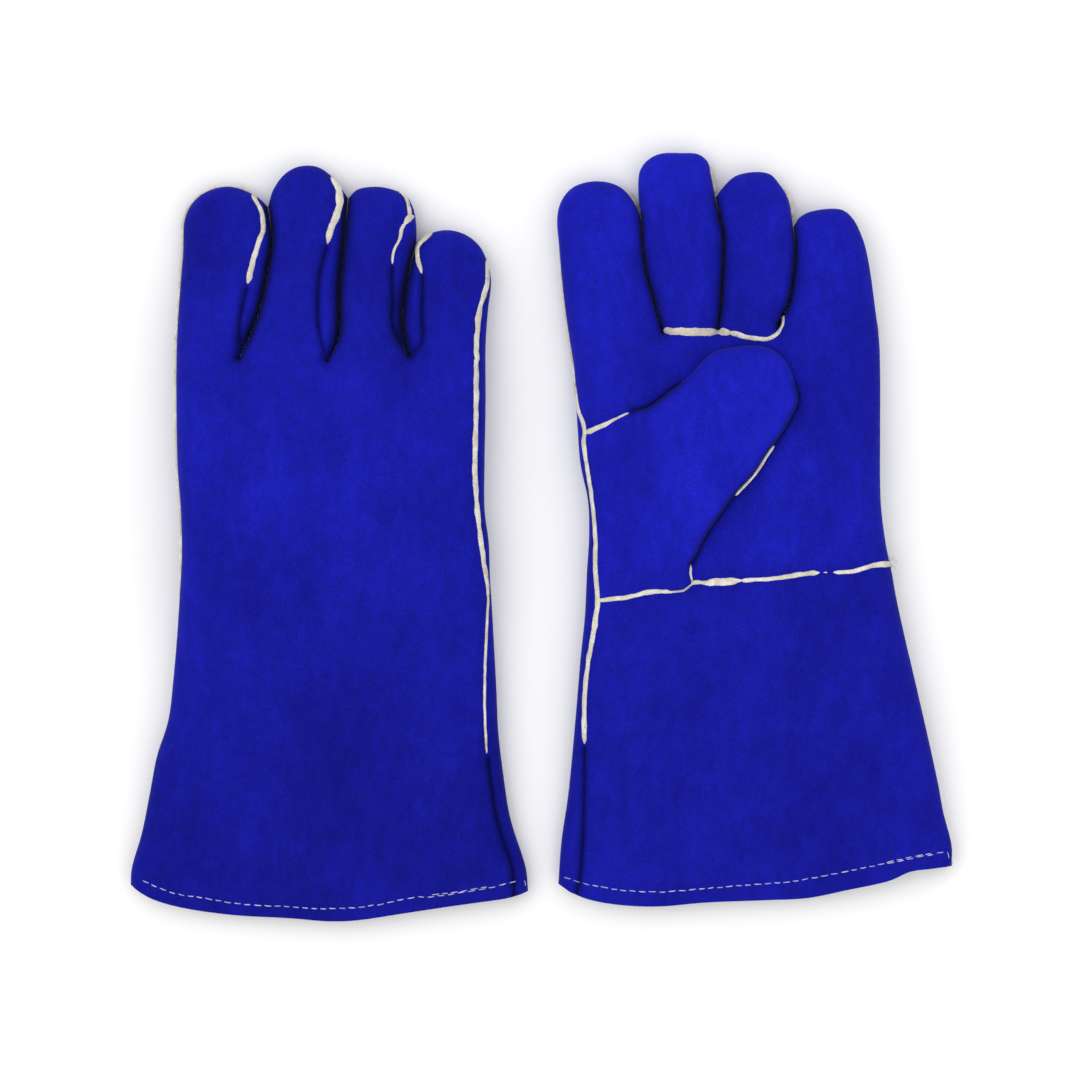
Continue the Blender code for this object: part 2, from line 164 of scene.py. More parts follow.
LEFT = {
    "name": "left",
    "palm_up": True,
    "outer": [(-93, -257), (-91.5, -236.5), (-88.5, -216), (-86.5, -196.5), (-84.5, -174), (-82.5, -150),
        (-80.5, -130.5), (-79.5, -109.5), (-78.5, -92.5), (-79, -76), (-82.5, -59), (-84, -40.5),
        (-85.5, -14), (-88, 2.5), (-90.5, 21), (-92.5, 42.5)],
    "tips": {
        "index": [(-93.5, 58.5), (-91.5, 66), (-86.5, 72), (-78, 75), (-69, 74.5), (-62.5, 71.5),
            (-57.5, 65.5)],
        "middle": [(-55, 66), (-55.2, 75), (-54.5, 80), (-51.5, 84.5), (-45.5, 88), (-34.5, 88.5),
            (-27, 88), (-22.5, 84.5), (-21, 78.5)],
        "ring": [(-15, 72.5), (-9.5, 77.5), (-1, 79.5), (7, 78.5), (12, 73), (15.5, 67), (17, 60)],
        "little": [(20.5, 57.5), (24, 60), (33, 62), (41.5, 61.5), (46.5, 57)],
    },
    "slits": [
        [(-54, 58.5), (-53.5, 47.5), (-52, 35), (-48.5, 21), (-45.5, 10), (-43.5, 3.5)],
        [(-18.8, 67.5), (-16.5, 56.5), (-15, 49), (-15.5, 29.5), (-17, 10), (-18, 4.2)],
        [(18, 53.5), (19, 46), (18, 29.5), (15.5, 16.5), (12.5, 11), (10.5, 6.5)],
    ],
    "inner": [(51, 47.5), (53, 40), (54.5, 31.5), (56.5, 16.5), (58.5, 0), (59, -14), (59, -46),
        (59, -66.5), (59.5, -79.5), (62, -98), (64.5, -109.5), (66.5, -121), (70.5, -139.5),
        (74.5, -156.5), (79.5, -178), (86.5, -209.5), (89, -223), (93, -239), (93, -248.5)],
    "hem": [(84, -249.5), (73, -251), (64, -255), (44, -259.5), (24.5, -263.5), (4, -264.5),
        (-22.5, -265.5), (-49, -267.5), (-72.5, -265.5), (-84.5, -262)],
    "splits": {
        "index": [(-88, 2.5), (-66, 4), (-43.5, 3.5)],
        "middle": [(-43.5, 3.5), (-35, 2.4), (-27.3, 2.8), (-18, 4.2)],
        "ring": [(-18, 4.2), (-10.4, 2.6), (-5.2, 0.9), (0, 0), (6, 0.2), (10.5, 6.5)],
        "little": [(10.5, 6.5), (34, 7), (57.8, 6)],
    },
    "thick": THICK,
    "raise": [(0, 0.0), (-1, 0.0)],
    "drop": (0, 1, 0.0),
    "sunk": [("thumb_side", -192)],
    "dents": [
        [(-50, -112), (-46, -150), (-52, -210)],
        [(20, -40), (34, -70), (38, -100)],
        [(30, -118), (44, -160)],
    ],
    "tones": [(-260, 0.84), (-170, 0.85), (-112, 0.91), (-104, 1.05), (0, 1.07), (50, 1.12), (90, 1.22)],
    "part_tones": {"thumb_front": 1.17, "thumb_wing": 1.1, "little_front": 1.0, "index_front": 1.03},
    "seed": 13.0,
    "shade": {"slit_wall": 0.62, "rest_wall": 1.2},
    "bend": {"index": 5.5, "middle": 5.5, "ring": 8.5, "little": 8.5},
    "backtack": (58.5, 86),
    "stitches": [(-91, -253.5), (-76.5, -257.5), (-51, -260.5), (-30.5, -259.5), (-9, -257.5),
        (17.5, -255.5), (44, -250.5), (58.5, -247.5), (89, -241.5)],
}

# The palm-up glove's thumb: the seams of its wing and wrist, its fold, and the edge that it is sewn along.

THUMB_SEAM = [(-84.9, -22), (-83.3, -33.5), (-80.5, -42), (-81, -48), (-79.5, -59), (-77, -76),
    (-75.5, -92.5), (-75.5, -108), (-74.5, -123), (-76.5, -138.5), (-79, -153), (-80.5, -167.5),
    (-80.7, -192.5), (-81, -223), (-82.5, -250.5), (-84.5, -262)]
THUMB_ROOT = [(-80.5, -44), (-74, -41.5), (-67, -38), (-58, -33.8)]
THUMB_FOLD = [(-58, -33.8), (-44.5, -70), (-30.8, -106)]
WING_SEAM = [(-30.8, -106), (-31.2, -110), (-30, -114.5)]
THUMB_EDGE = [(-58, -33.8), (-51, -32), (-42, -25.5), (-31.5, -17), (-25, -10), (-19, -5.5), (-12, -4),
    (-1, -3), (7.5, -5), (14, -11), (18, -20.5), (19.5, -29), (16.5, -36.5), (11.5, -45), (5.5, -53),
    (-1, -63), (-10.5, -73.5), (-17, -82.5), (-23.5, -92), (-27.5, -100), (-30.8, -106)]
WRIST_SEAM = [(-74.8, -123), (-59, -121), (-50.5, -119), (-34, -117.5), (-30, -114.5), (-22.5, -114.5),
    (-7.5, -113.5), (8.5, -112.5), (26, -110), (46.5, -109), (54.5, -106.5), (64, -105.5)]
THUMB_RISE = 13.5
THUMB_EDGE_RISE = 5.0
THUMB_ROUND, THUMB_BACK_ROUND = 12.0, 5.0          # how far in from its edge the thumb is curving, mm
THUMB_GROWS = (-18, 16)    # the top rises between these distances from the fold, mm
EDGE_GROWS = (0, 12)
THUMB_GAP = 0.3            # between the palm and the thumb's back, mm


# ---- curves in the pattern plane ----

def curve_through(points, step):
    """A centripetal Catmull-Rom curve through the points, sampled about every step."""
    knots = np.array(points, float)
    knots = np.vstack([2 * knots[0] - knots[1], knots, 2 * knots[-1] - knots[-2]])
    result = [knots[1]]
    for p0, p1, p2, p3 in zip(knots, knots[1:], knots[2:], knots[3:]):
        t1 = math.sqrt(np.linalg.norm(p1 - p0))
        t2 = t1 + math.sqrt(np.linalg.norm(p2 - p1))
        t3 = t2 + math.sqrt(np.linalg.norm(p3 - p2))
        count = max(1, round(float(np.linalg.norm(p2 - p1)) / step))
        for k in range(1, count + 1):
            t = t1 + (t2 - t1) * k / count
            a1 = (t1 - t) / t1 * p0 + t / t1 * p1
            a2 = (t2 - t) / (t2 - t1) * p1 + (t - t1) / (t2 - t1) * p2
            a3 = (t3 - t) / (t3 - t2) * p2 + (t - t2) / (t3 - t2) * p3
            b1 = (t2 - t) / t2 * a1 + t / t2 * a2
            b2 = (t3 - t) / (t3 - t1) * a2 + (t - t1) / (t3 - t1) * a3
            result.append((t2 - t) / (t2 - t1) * b1 + (t - t1) / (t2 - t1) * b2)
    return np.array(result)


def unit(vectors):
    return vectors / np.maximum(np.linalg.norm(vectors, axis=-1, keepdims=True), 1e-9)


def sideways(points, distance):
    """The points moved to the left of their own direction by a distance."""
    along = unit(np.gradient(points, axis=0))
    return points + distance * np.stack([-along[:, 1], along[:, 0]], axis=1)


def travelled(line):
    """How far along the line each of its points is."""
    return np.concatenate([[0], np.cumsum(np.linalg.norm(np.diff(line, axis=0), axis=1))])


def nearest(points, spot):
    """The number of the point that is closest to a spot."""
    return int(np.linalg.norm(points - np.array(spot), axis=1).argmin())


def wall_of(starts, ends):
    """A low wall standing on a set of straight segments, ready to be measured to."""
    corners, faces = [], []
    for a, b in zip(starts, ends):
        k = len(corners)
        corners += [(a[0], a[1], -1), (b[0], b[1], -1), (b[0], b[1], 1), (a[0], a[1], 1)]
        faces.append((k, k + 1, k + 2, k + 3))
    return BVHTree.FromPolygons(corners, faces) if faces else None


def distance_to(points, wall):
    """Each pattern point's distance to the nearest of the segments that a wall stands on."""
    if wall is None:
        return np.full(len(points), 1e9)
    return np.array([wall.find_nearest((x, y, 0))[3] for x, y in points])


def inside(points, polygon):
    """Which points lie inside a closed polygon, by counting crossings."""
    found = np.zeros(len(points), bool)
    x, y = points[:, 0], points[:, 1]
    for a, b in zip(polygon, np.roll(polygon, -1, axis=0)):
        if a[1] == b[1]:
            continue
        crosses = ((a[1] > y) != (b[1] > y)) & (x < (b[0] - a[0]) * (y - a[1]) / (b[1] - a[1]) + a[0])
        found ^= crosses
    return found


def outline_of(glove):
    """The glove's closed outline, counted clockwise from the hem's left corner, and which edges are hem."""
    sides = []
    for slit in glove["slits"]:
        middle = curve_through(slit, OUTLINE_STEP)
        bottom = middle[-1] + 0.3 * SLIT_HALF * (middle[-1] - middle[-2])
        sides.append((sideways(middle, -SLIT_HALF), sideways(middle, SLIT_HALF), bottom))
    parts = []
    for i, finger in enumerate(FINGERS):
        run = list(glove["tips"][finger])
        if i == 0:
            run = glove["outer"] + run
        else:
            run = [tuple(sides[i - 1][1][0])] + run
        run = run + ([tuple(sides[i][0][0])] if i < 3 else glove["inner"])
        parts.append(curve_through(run, OUTLINE_STEP))
        if i < 3:
            left, right, bottom = sides[i]
            parts.append(left[1:])
            parts.append(bottom[None, :])
            parts.append(right[:0:-1])
    hem = curve_through([tuple(parts[-1][-1])] + glove["hem"] + [glove["outer"][0]], HEM_STEP)
    side = np.vstack(parts)
    outline = np.vstack([side, hem[1:-1]])
    is_hem = np.zeros(len(outline), bool)
    is_hem[len(side) - 1:] = True
    return outline, is_hem


def snapped(points, outline, reach=3.0):
    """The line with its ends moved onto the nearest outline point, where one is near."""
    points = points.copy()
    for end in (0, -1):
        gaps = np.linalg.norm(outline - points[end], axis=1)
        if gaps.min() < reach:
            points[end] = outline[gaps.argmin()]
    return points


def hex_grid(outline, step):
    low, high = outline.min(axis=0), outline.max(axis=0)
    rows = []
    for j, y in enumerate(np.arange(low[1], high[1], step * HEX_ROW)):
        x = np.arange(low[0] + (j % 2) * step / 2, high[0], step)
        rows.append(np.stack([x, np.full(len(x), y)], axis=1))
    grid = np.vstack(rows)
    return grid[inside(grid, outline)]


def thinned(candidates, least):
    """Drops each point that lies within the least spacing of one kept before it."""
    kept, cells = [], {}
    for point in candidates:
        key = (math.floor(point[0] / least), math.floor(point[1] / least))
        near = [q for i in (-1, 0, 1) for j in (-1, 0, 1) for q in cells.get((key[0] + i, key[1] + j), ())]
        if all((point[0] - q[0]) ** 2 + (point[1] - q[1]) ** 2 >= least * least for q in near):
            cells.setdefault(key, []).append(point)
            kept.append(point)
    return np.array(kept)


def pattern_mesh(outline, lines, grid_step, rings, seam_rings):
    """Triangles of the flat pattern, with its outline and seams as edges and finer rows beside them."""
    closed = np.roll(outline, -1, axis=0)
    points, edges = [outline], [(i, (i + 1) % len(outline)) for i in range(len(outline))]
    total = len(outline)
    starts, ends = [], []
    for line in lines.values():
        points.append(line)
        edges += [(total + i, total + i + 1) for i in range(len(line) - 1)]
        total += len(line)
        starts.append(line[:-1])
        ends.append(line[1:])
    edge = wall_of(outline, closed)
    seams = wall_of(np.vstack(starts), np.vstack(ends)) if starts else None
    extra = []
    for depth in rings:
        ring = sideways(outline, -depth)
        ring = ring[inside(ring, outline)]
        ring = ring[distance_to(ring, edge) > ROW_SHARE * depth]
        extra.append(ring[distance_to(ring, seams) > SEAM_CLEAR])
    for depth in seam_rings if lines else ():
        row = np.vstack([sideways(line, side) for line in lines.values() for side in (-depth, depth)])
        row = row[inside(row, outline)]
        row = row[distance_to(row, edge) > EDGE_CLEAR]
        extra.append(row[distance_to(row, seams) > ROW_SHARE * depth])
    grid = hex_grid(outline, grid_step)
    grid = grid[distance_to(grid, edge) > rings[-1] + 0.6 * grid_step]
    if lines:
        grid = grid[distance_to(grid, seams) > seam_rings[-1] + 0.5 * grid_step]
    extra.append(grid)
    points.append(thinned(np.vstack(extra), LEAST_SPACING))
    everything = [Vector(p) for p in np.vstack(points)]
    verts, made_edges, faces, _, edge_origins, _ = delaunay_2d_cdt(everything, edges, [], 1, 1e-5)
    walls = {tuple(sorted(e)) for e, origin in zip(made_edges, edge_origins) if origin}
    return np.array([tuple(v) for v in verts]), [tuple(f) for f in faces], walls


def flooded(faces, walls):
    """The number of the walled region that each triangle lies in."""
    by_edge = {}
    for index, face in enumerate(faces):
        for edge in edges_of(face):
            by_edge.setdefault(edge, []).append(index)
    region, count = [-1] * len(faces), 0
    for start in range(len(faces)):
        if region[start] >= 0:
            continue
        stack = [start]
        region[start] = count
        while stack:
            for edge in edges_of(faces[stack.pop()]):
                for other in () if edge in walls else by_edge[edge]:
                    if region[other] < 0:
                        region[other] = count
                        stack.append(other)
        count += 1
    return region


def edges_of(face):
    return [tuple(sorted(edge)) for edge in zip(face, face[1:] + face[:1])]


def label_regions(verts, faces, walls, seeds):
    """Names every triangle after the seed in its region, or else after the closest named triangle."""
    region = flooded(faces, walls)
    centres = verts[np.array(faces)].mean(axis=1)
    names = {region[nearest(centres, spot)]: label for label, spots in seeds.items() for spot in spots}
    labels = [names.get(r) for r in region]
    known = [i for i, label in enumerate(labels) if label]
    return [label or labels[known[nearest(centres[known], centres[i])]] for i, label in enumerate(labels)]


# ---- heights ----

TOP_ROUND = 15.0           # how far in from the side the stuffed top is still curving, mm
BOTTOM_ROUND = 8.0
FULLNESS = 2.3             # 2 makes a stuffed edge round, and more makes it squarer
MIDDLE_SHARE = 0.42        # height of the side edge, as a share of the glove's thickness
SUNK_LINES = (             # seams, folds where a welt has sunk, and creases: wall, depth and width, mm
    ("groove_wall", 0.9, 2.0), ("sunk_wall", 1.5, 1.5), ("dent_wall", 0.9, 3.5))
RUMPLES = ((0, 34, 48, 1.7), (9, 12, 15, 0.55), (5, 5.5, 6.5, 0.2))    # seed, length across, along, height
PUCKER_PLACE, PUCKER_WIDTH = 5, 4               # the band of small puckers inside a side seam, mm
PUCKER_LENGTH, PUCKER_HEIGHT = 4.5, 0.5
PAINTED_FOLD_SHADES = (                # painted shade along folds, slits and the thumb's edge: which wall, narrow and wide strength
    ("slit_wall", 0.58, 0.68), ("sunk_wall", 0.55, 0.26), ("rest_wall", 0.45, 0.28))
FOLD_SHADE_NARROW = 1.1
FOLD_SHADE_WIDE = 3.4
SLIT_END = (-3, 14)        # heights on the pattern between which the painted shade of the slits' folds fades out, mm
BELOW_SLITS = -20
OFF_SLIT = 0.35            # the share of the painted fold shade that is left where the slits end


def smooth(share):
    return share * share * (3 - 2 * share)


def eased(table, at):
    """A table of (place, value) rows read at many places, with smooth steps between the rows."""
    places, values = np.array(sorted(table), float).T
    at = np.clip(at, places[0], places[-1])
    i = np.clip(np.searchsorted(places, at) - 1, 0, len(places) - 2)
    share = (at - places[i]) / (places[i + 1] - places[i])
    return values[i] + (values[i + 1] - values[i]) * 0.5 * (share + smooth(share))


def ramp(values, low, high):
    return smooth(np.clip((values - low) / (high - low), 0, 1))


def pillow(distance, reach):
    """The rounded profile of a stuffed edge: 0 at the seam and 1 from the reach inwards."""
    share = np.clip(distance / reach, 0, 1)
    return (1 - (1 - share) ** FULLNESS) ** (1 / FULLNESS)


def wave(*place):
    """Smooth noise from about -1 to 1 at a place in space."""
    return noise.noise(Vector(place))


def rumple(points, seed, wide, tall, size):
    return size * np.array([wave(x / wide, y / tall, seed) for x, y in points])


def underside(glove, points):
    x, y = points[:, 0], points[:, 1]
    lift = eased(glove["raise"], y)
    start, end, depth = glove["drop"]
    return lift - np.minimum(lift, depth) * ramp(x, start, end)


def middle_height(glove, points):
    """Height of the side seam over the resting plane, in mm."""
    return underside(glove, points) + MIDDLE_SHARE * eased(glove["thick"], points[:, 1])


def top_height(glove, points):
    """Height of the glove's upper skin over the resting plane, in mm."""
    side = distance_to(points, glove["side_wall"])
    full = pillow(side, TOP_ROUND)
    z = middle_height(glove, points) + (1 - MIDDLE_SHARE) * eased(glove["thick"], points[:, 1]) * full
    for seed, wide, tall, size in RUMPLES:
        z += full * rumple(points, glove["seed"] + seed, wide, tall, size)
    beside_seam = np.exp(-((side - PUCKER_PLACE) / PUCKER_WIDTH) ** 2)
    z += beside_seam * rumple(points, glove["seed"] + 7, PUCKER_LENGTH, PUCKER_LENGTH, PUCKER_HEIGHT)
    for wall, depth, width in SUNK_LINES:
        z -= depth * full ** 0.5 * np.exp(-(distance_to(points, glove[wall]) / width) ** 2)
    return z


def bottom_height(glove, points):
    side = distance_to(points, glove["side_wall"])
    rise = MIDDLE_SHARE * eased(glove["thick"], points[:, 1])
    return underside(glove, points) + rise * (1 - pillow(side, BOTTOM_ROUND))


def from_fold(points):
    """Distance past the palm-up glove's thumb fold, positive towards the thumb's tip."""
    return (points - THUMB_FOLD[0]) @ FOLD_OUT


def thumb_extra(points, edges):
    """How far the thumb's top, its sewn edge and its back stand over the palm."""
    past = from_fold(points)
    side = distance_to(points, edges)
    edge = THUMB_EDGE_RISE * ramp(past, *EDGE_GROWS)
    top = edge + (THUMB_RISE - edge) * ramp(past, *THUMB_GROWS) * pillow(side, THUMB_ROUND)
    low = THUMB_GAP + np.minimum(edge, 0.5)
    return top, edge, low + (edge - low) * (1 - pillow(side, THUMB_BACK_ROUND))


FOLD_ALONG = unit(np.array(THUMB_FOLD[-1]) - THUMB_FOLD[0])
FOLD_OUT = np.array([-FOLD_ALONG[1], FOLD_ALONG[0]])


# ---- seams ----

def seam_lines(outline, table):
    """A layer's seam curves by name, each end joined to the outline or to an earlier seam."""
    lines, known = {}, outline
    for name, knots in table:
        lines[name] = snapped(curve_through(knots, OUTLINE_STEP), known)
        known = np.vstack([known, lines[name]])
    return lines


def inset_line(outline, start, end, depth):
    """Part of the outline between two places, moved inwards and carried back to the outline's ends."""
    run = outline[nearest(outline, start):nearest(outline, end) + 1]
    share = np.linspace(0, 1, len(run))
    taper = np.minimum(1, np.minimum(share, 1 - share) * len(run) / 4)
    moved = sideways(run, -(depth * taper)[:, None])
    return [tuple(p) for p in moved[::2]] + ([tuple(moved[-1])] if len(moved) % 2 == 0 else [])


def split_lines(glove):
    return [("split_" + finger, glove["splits"][finger]) for finger in FINGERS]


RIGHT_TOP = {
    "index": [(-36.5, 78.5), (-32, 70), (-31, 62.5), (-34.5, 50.5), (-38, 35.5), (-39.5, 29), (-41.5, 18),
        (-42, 0.5)],
    "middle": [(1.5, 86), (5, 78.5), (4, 69), (1, 61.5), (-0.5, 54.5), (-4, 40.5), (-5, 25.5), (-4, 12.5),
        (-0.5, -0.5)],
    "ring": [(33, 80), (36.3, 76.5), (37.6, 72), (38, 68.5), (36.2, 64.5), (34.4, 61.5), (33.6, 57),
        (31, 52), (30, 45), (30, 29), (30.5, 14.5), (38, 1.5)],
    "little": [(47.5, 59), (42.5, 54), (42, 48), (44, 40.5), (44, 23), (43.5, 7), (38, 1.5)],
    "little_side": [(74.5, 47), (74.5, 35.5), (71.5, 25.5), (70, 13.5), (69.5, 1.5)],
    "hand_side": [(69.5, 1.5), (69.5, -20.5), (69, -55), (70.5, -75.5), (72.5, -91.5), (75, -110.5),
        (74.5, -123), (73.5, -149.5), (73.5, -165), (74.5, -185.5), (75, -188), (79, -216),
        (86.5, -240.5), (87.5, -253.4)],
    "wrist": [(75, -111), (76.5, -111)],
}
RIGHT_TOP_SEEDS = {
    "back_panel": [(0, -60)], "palm_panel": [(71.5, -60)], "cuff_palm_panel": [(76.5, -155)],
    "little_front": [(73, 15)], "index_back": [(-52, 40)], "index_fourchette": [(-34.5, 35)],
    "middle_back": [(-15, 50)], "middle_fourchette_little_side": [(1, 40)], "ring_back": [(20, 50)],
    "ring_fourchette_little_side": [(33.6, 33)], "little_back": [(58, 30)],
    "little_fourchette": [(40.5, 30)],
}
RIGHT_BOTTOM_SEEDS = {
    "palm_panel": [(20, -50)], "thumb_wing": [(-60, -80)], "cuff_palm_panel": [(0, -180)],
    "back_panel": [(-70.7, -60)], "index_back": [(-70.4, 30)], "index_front": [(-52, 40)],
    "middle_front": [(-10, 50)], "ring_front": [(22, 50)], "little_front": [(58, 30)],
    "index_fourchette": [(-30.2, 50)], "middle_fourchette_index_side": [(-25.5, 50)],
    "middle_fourchette_little_side": [(4.4, 50)], "ring_fourchette_index_side": [(9, 50)],
    "ring_fourchette_little_side": [(36, 43)], "little_fourchette": [(40.7, 43)],
}
LEFT_TOP_SEEDS = {
    "palm_panel": [(20, -60), (-10, -30)], "thumb_wing": [(-65, -80)], "cuff_palm_panel": [(0, -180)],
    "back_panel": [(-77.8, -115)], "index_front": [(-70, 40)], "middle_front": [(-36, 50)],
    "ring_front": [(0, 50)], "little_front": [(38, 35)],
}
LEFT_BOTTOM_SEEDS = {
    "back_panel": [(0, -100)], "palm_panel": [(58.2, -30)], "cuff_palm_panel": [(77, -180)],
    "index_back": [(-70, 40)], "middle_back": [(-36, 50)], "ring_back": [(0, 50)],
    "little_back": [(36, 30)], "little_front": [(54.8, 25)], "index_fourchette": [(-55.2, 47)],
    "middle_fourchette_index_side": [(-51.6, 47)], "middle_fourchette_little_side": [(-17.5, 49)],
    "ring_fourchette_index_side": [(-13.8, 45)], "ring_fourchette_little_side": [(17.2, 44)],
    "little_fourchette": [(20.4, 44)],
}
FLAT_LINES = ("fold", "thumb_rest")      # lines in the mesh that aren't sewn into the top skin
FOURCHETTE_INSET = 4.5
SIDE_INSET = 1.3


def finger_insets(glove, outline):
    """The underside seams of the fourchettes, beside each slit from its mouth to its bottom."""
    found = []
    for i, slit in enumerate(glove["slits"]):
        bottom, mouth = slit[-1], slit[0]
        left = (mouth[0] - 2.5, mouth[1] + 3)
        right = (mouth[0] + 2.5, mouth[1] + 3)
        found.append((FINGERS[i] + "_right", inset_line(outline, left, bottom, FOURCHETTE_INSET)))
        found.append((FINGERS[i + 1] + "_left", inset_line(outline, bottom, right, FOURCHETTE_INSET)))
    return found


def right_seams(glove, outline):
    top = split_lines(glove) + list(RIGHT_TOP.items())
    tip, root, corner = (-63.5, 75.5), (-71.5, 0), (-93.9, -247)
    bottom = split_lines(glove) + finger_insets(glove, outline)
    bottom += [("thumb_side_finger", inset_line(outline, root, tip, SIDE_INSET)),
               ("thumb_side", inset_line(outline, corner, root, SIDE_INSET)),
               ("wrist", [(-70.3, -112), (0, -112), (76.5, -111)]),
               ("wing", [(-68.7, -46), (-46, -31), (-18, -104), (-17.5, -112)])]
    return top, bottom


def left_seams(glove, outline):
    top = split_lines(glove) + [("thumb_side", THUMB_SEAM), ("root", THUMB_ROOT), ("fold", THUMB_FOLD),
                                ("wing", WING_SEAM), ("wrist", WRIST_SEAM), ("thumb_rest", THUMB_EDGE)]
    tip, root, corner = (46.5, 57), (57.8, 6), (93, -248)
    bottom = split_lines(glove) + finger_insets(glove, outline)
    bottom += [("little_side_finger", inset_line(outline, tip, root, SIDE_INSET)),
               ("little_side", inset_line(outline, root, corner, SIDE_INSET)),
               ("wrist", [(63, -105.5), (64.5, -105.5)])]
    return top, bottom


# ---- skins ----

def key_of(point):
    return (round(float(point[0]), 3), round(float(point[1]), 3))


def vertex_normals(verts, faces):
    a, b, c = (verts[faces[:, k]] for k in range(3))
    flat = np.cross(b - a, c - a)
    normals = np.zeros_like(verts)
    for k in range(3):
        np.add.at(normals, faces[:, k], flat)
    return normals / np.maximum(np.linalg.norm(normals, axis=1), 1e-12)[:, None]


def wall_along(*lines):
    if not lines:
        return None
    return wall_of(np.vstack([line[:-1] for line in lines]), np.vstack([line[1:] for line in lines]))


def skin_of(layers, seam_points):
    """One skin from flat layers that share the points of their common seam.

    A layer is its flat points, their heights, its triangles, their labels, and whether it faces up."""
    sewn = {key_of(Vector(p)) for p in seam_points}      # rounded the way that the triangles' points are
    verts, faces, labels, known = [], [], [], {}
    for flat, heights, triangles, names, faces_up in layers:
        index = []
        for point, z in zip(flat, heights):
            key = key_of(point)
            if key not in sewn or key not in known:
                known[key] = len(verts)
                verts.append((*point, z))
            index.append(known[key])
        faces += [[index[i] for i in (face if faces_up else face[::-1])] for face in triangles]
        labels += names
    return np.array(verts), np.array(faces), labels


def set_walls(glove, outline, is_hem):
    """Stands walls on the glove's lines, so that heights and painted shade can go by the distance to them.
    """
    top, closed = glove["top_lines"], np.roll(outline, -1, axis=0)
    glove["side_wall"] = wall_of(outline[~is_hem], closed[~is_hem])
    glove["hem_wall"] = wall_of(outline[is_hem], closed[is_hem])
    glove["groove_wall"] = wall_along(*(line for name, line in top.items() if name not in FLAT_LINES))
    glove["sunk_wall"] = wall_along(*(clipped(top[name], high=high) for name, high in glove["sunk"]))
    glove["dent_wall"] = wall_along(*(curve_through(dent, 3.0) for dent in glove["dents"]))
    glove["slit_wall"] = wall_along(*(curve_through(slit, OUTLINE_STEP) for slit in glove["slits"]))
    # the palm-up thumb's edge, beside which the palm gets painted shadow
    rests = [curve_through(THUMB_EDGE, OUTLINE_STEP)] if glove["palm_up"] else []
    glove["rest_wall"] = wall_along(*rests)
    return np.vstack([outline[~is_hem], closed[~is_hem]])


def glove_skin(glove, seams_of, top_seeds, bottom_seeds):
    """The whole outside of a glove, as points in mm, triangles, and the piece each triangle is part of."""
    outline, is_hem = outline_of(glove)
    top, bottom = (seam_lines(outline, table) for table in seams_of(glove, outline))
    glove.update(outline=outline, top_lines=top, bottom_lines=bottom)
    seam_points = set_walls(glove, outline, is_hem)
    layers = []
    for lines, grid, rings, seeds, height_of in (
            (top, TOP_GRID, TOP_RINGS, top_seeds, top_height),
            (bottom, BOTTOM_GRID, BOTTOM_RINGS, bottom_seeds, bottom_height)):
        flat, triangles, walls = pattern_mesh(outline, lines, grid, rings, SEAM_RINGS)
        names = label_regions(flat, triangles, walls, seeds)
        layers.append((flat, height_of(glove, flat), triangles, names, lines is top))
    return skin_of(layers, seam_points)


def raised_wing(verts, faces, labels, thumb_edges):
    """Gives the palm-up glove's wing its own points along the fold, and lifts them towards the thumb."""
    is_wing = np.array([label == "thumb_wing" for label in labels])
    wing_points = np.unique(faces[is_wing])
    lifted = verts[wing_points].copy()
    lifted[:, 2] += thumb_extra(lifted[:, :2], thumb_edges)[0]
    moved = np.nonzero(lifted[:, 2] - verts[wing_points, 2] > SAME_PLACE)[0]
    own = {int(wing_points[k]): len(verts) + i for i, k in enumerate(moved)}
    faces = faces.copy()
    for i in np.nonzero(is_wing)[0]:
        faces[i] = [own.get(int(v), int(v)) for v in faces[i]]
    return np.vstack([verts, lifted[moved]]), faces


def thumb_skin(glove, fold, thumb_edges):
    """The folded thumb's front and back over the palm, meeting along its sewn edge."""
    edge = curve_through(THUMB_EDGE, OUTLINE_STEP)
    outline = np.vstack([edge, fold[::-1][1:-1]])
    flat, triangles, _ = pattern_mesh(outline, {}, TOP_GRID, TOP_RINGS[1:], ())
    base = top_height(glove, flat)
    top, _, back = thumb_extra(flat, thumb_edges)
    count = len(triangles)
    return skin_of([(flat, base + top, triangles, ["thumb_front"] * count, True),
                    (flat, base + back, triangles, ["thumb_back"] * count, False)], edge)


def welded(verts, faces, labels):
    """Joins points that lie in the same place, and drops the triangles that this closes."""
    tree = KDTree(len(verts))
    for i, point in enumerate(verts):
        tree.insert(point, i)
    tree.balance()
    first = np.array([min(found[1] for found in tree.find_range(point, SAME_PLACE)) for point in verts])
    kept, index = np.unique(first, return_inverse=True)
    faces = index[faces]
    whole = (faces[:, 0] != faces[:, 1]) & (faces[:, 1] != faces[:, 2]) & (faces[:, 0] != faces[:, 2])
    return verts[kept], faces[whole], [label for label, ok in zip(labels, whole) if ok]


def placed(glove, verts):
    """Pattern millimetres to metres in the frame."""
    return verts * MM + np.array([glove["origin"][0], glove["origin"][1], 0])


def new_object(name, verts, faces, material, normals=None):
    mesh = bpy.data.meshes.new(name)
    mesh.from_pydata([tuple(v) for v in verts], [], [tuple(int(i) for i in f) for f in faces])
    mesh.validate()
    mesh.polygons.foreach_set("use_smooth", [True] * len(mesh.polygons))
    if normals is not None:
        mesh.normals_split_custom_set_from_vertices([tuple(n) for n in normals])
    piece = bpy.data.objects.new(name, mesh)
    bpy.context.scene.collection.objects.link(piece)
    piece.data.materials.append(material)
    return piece


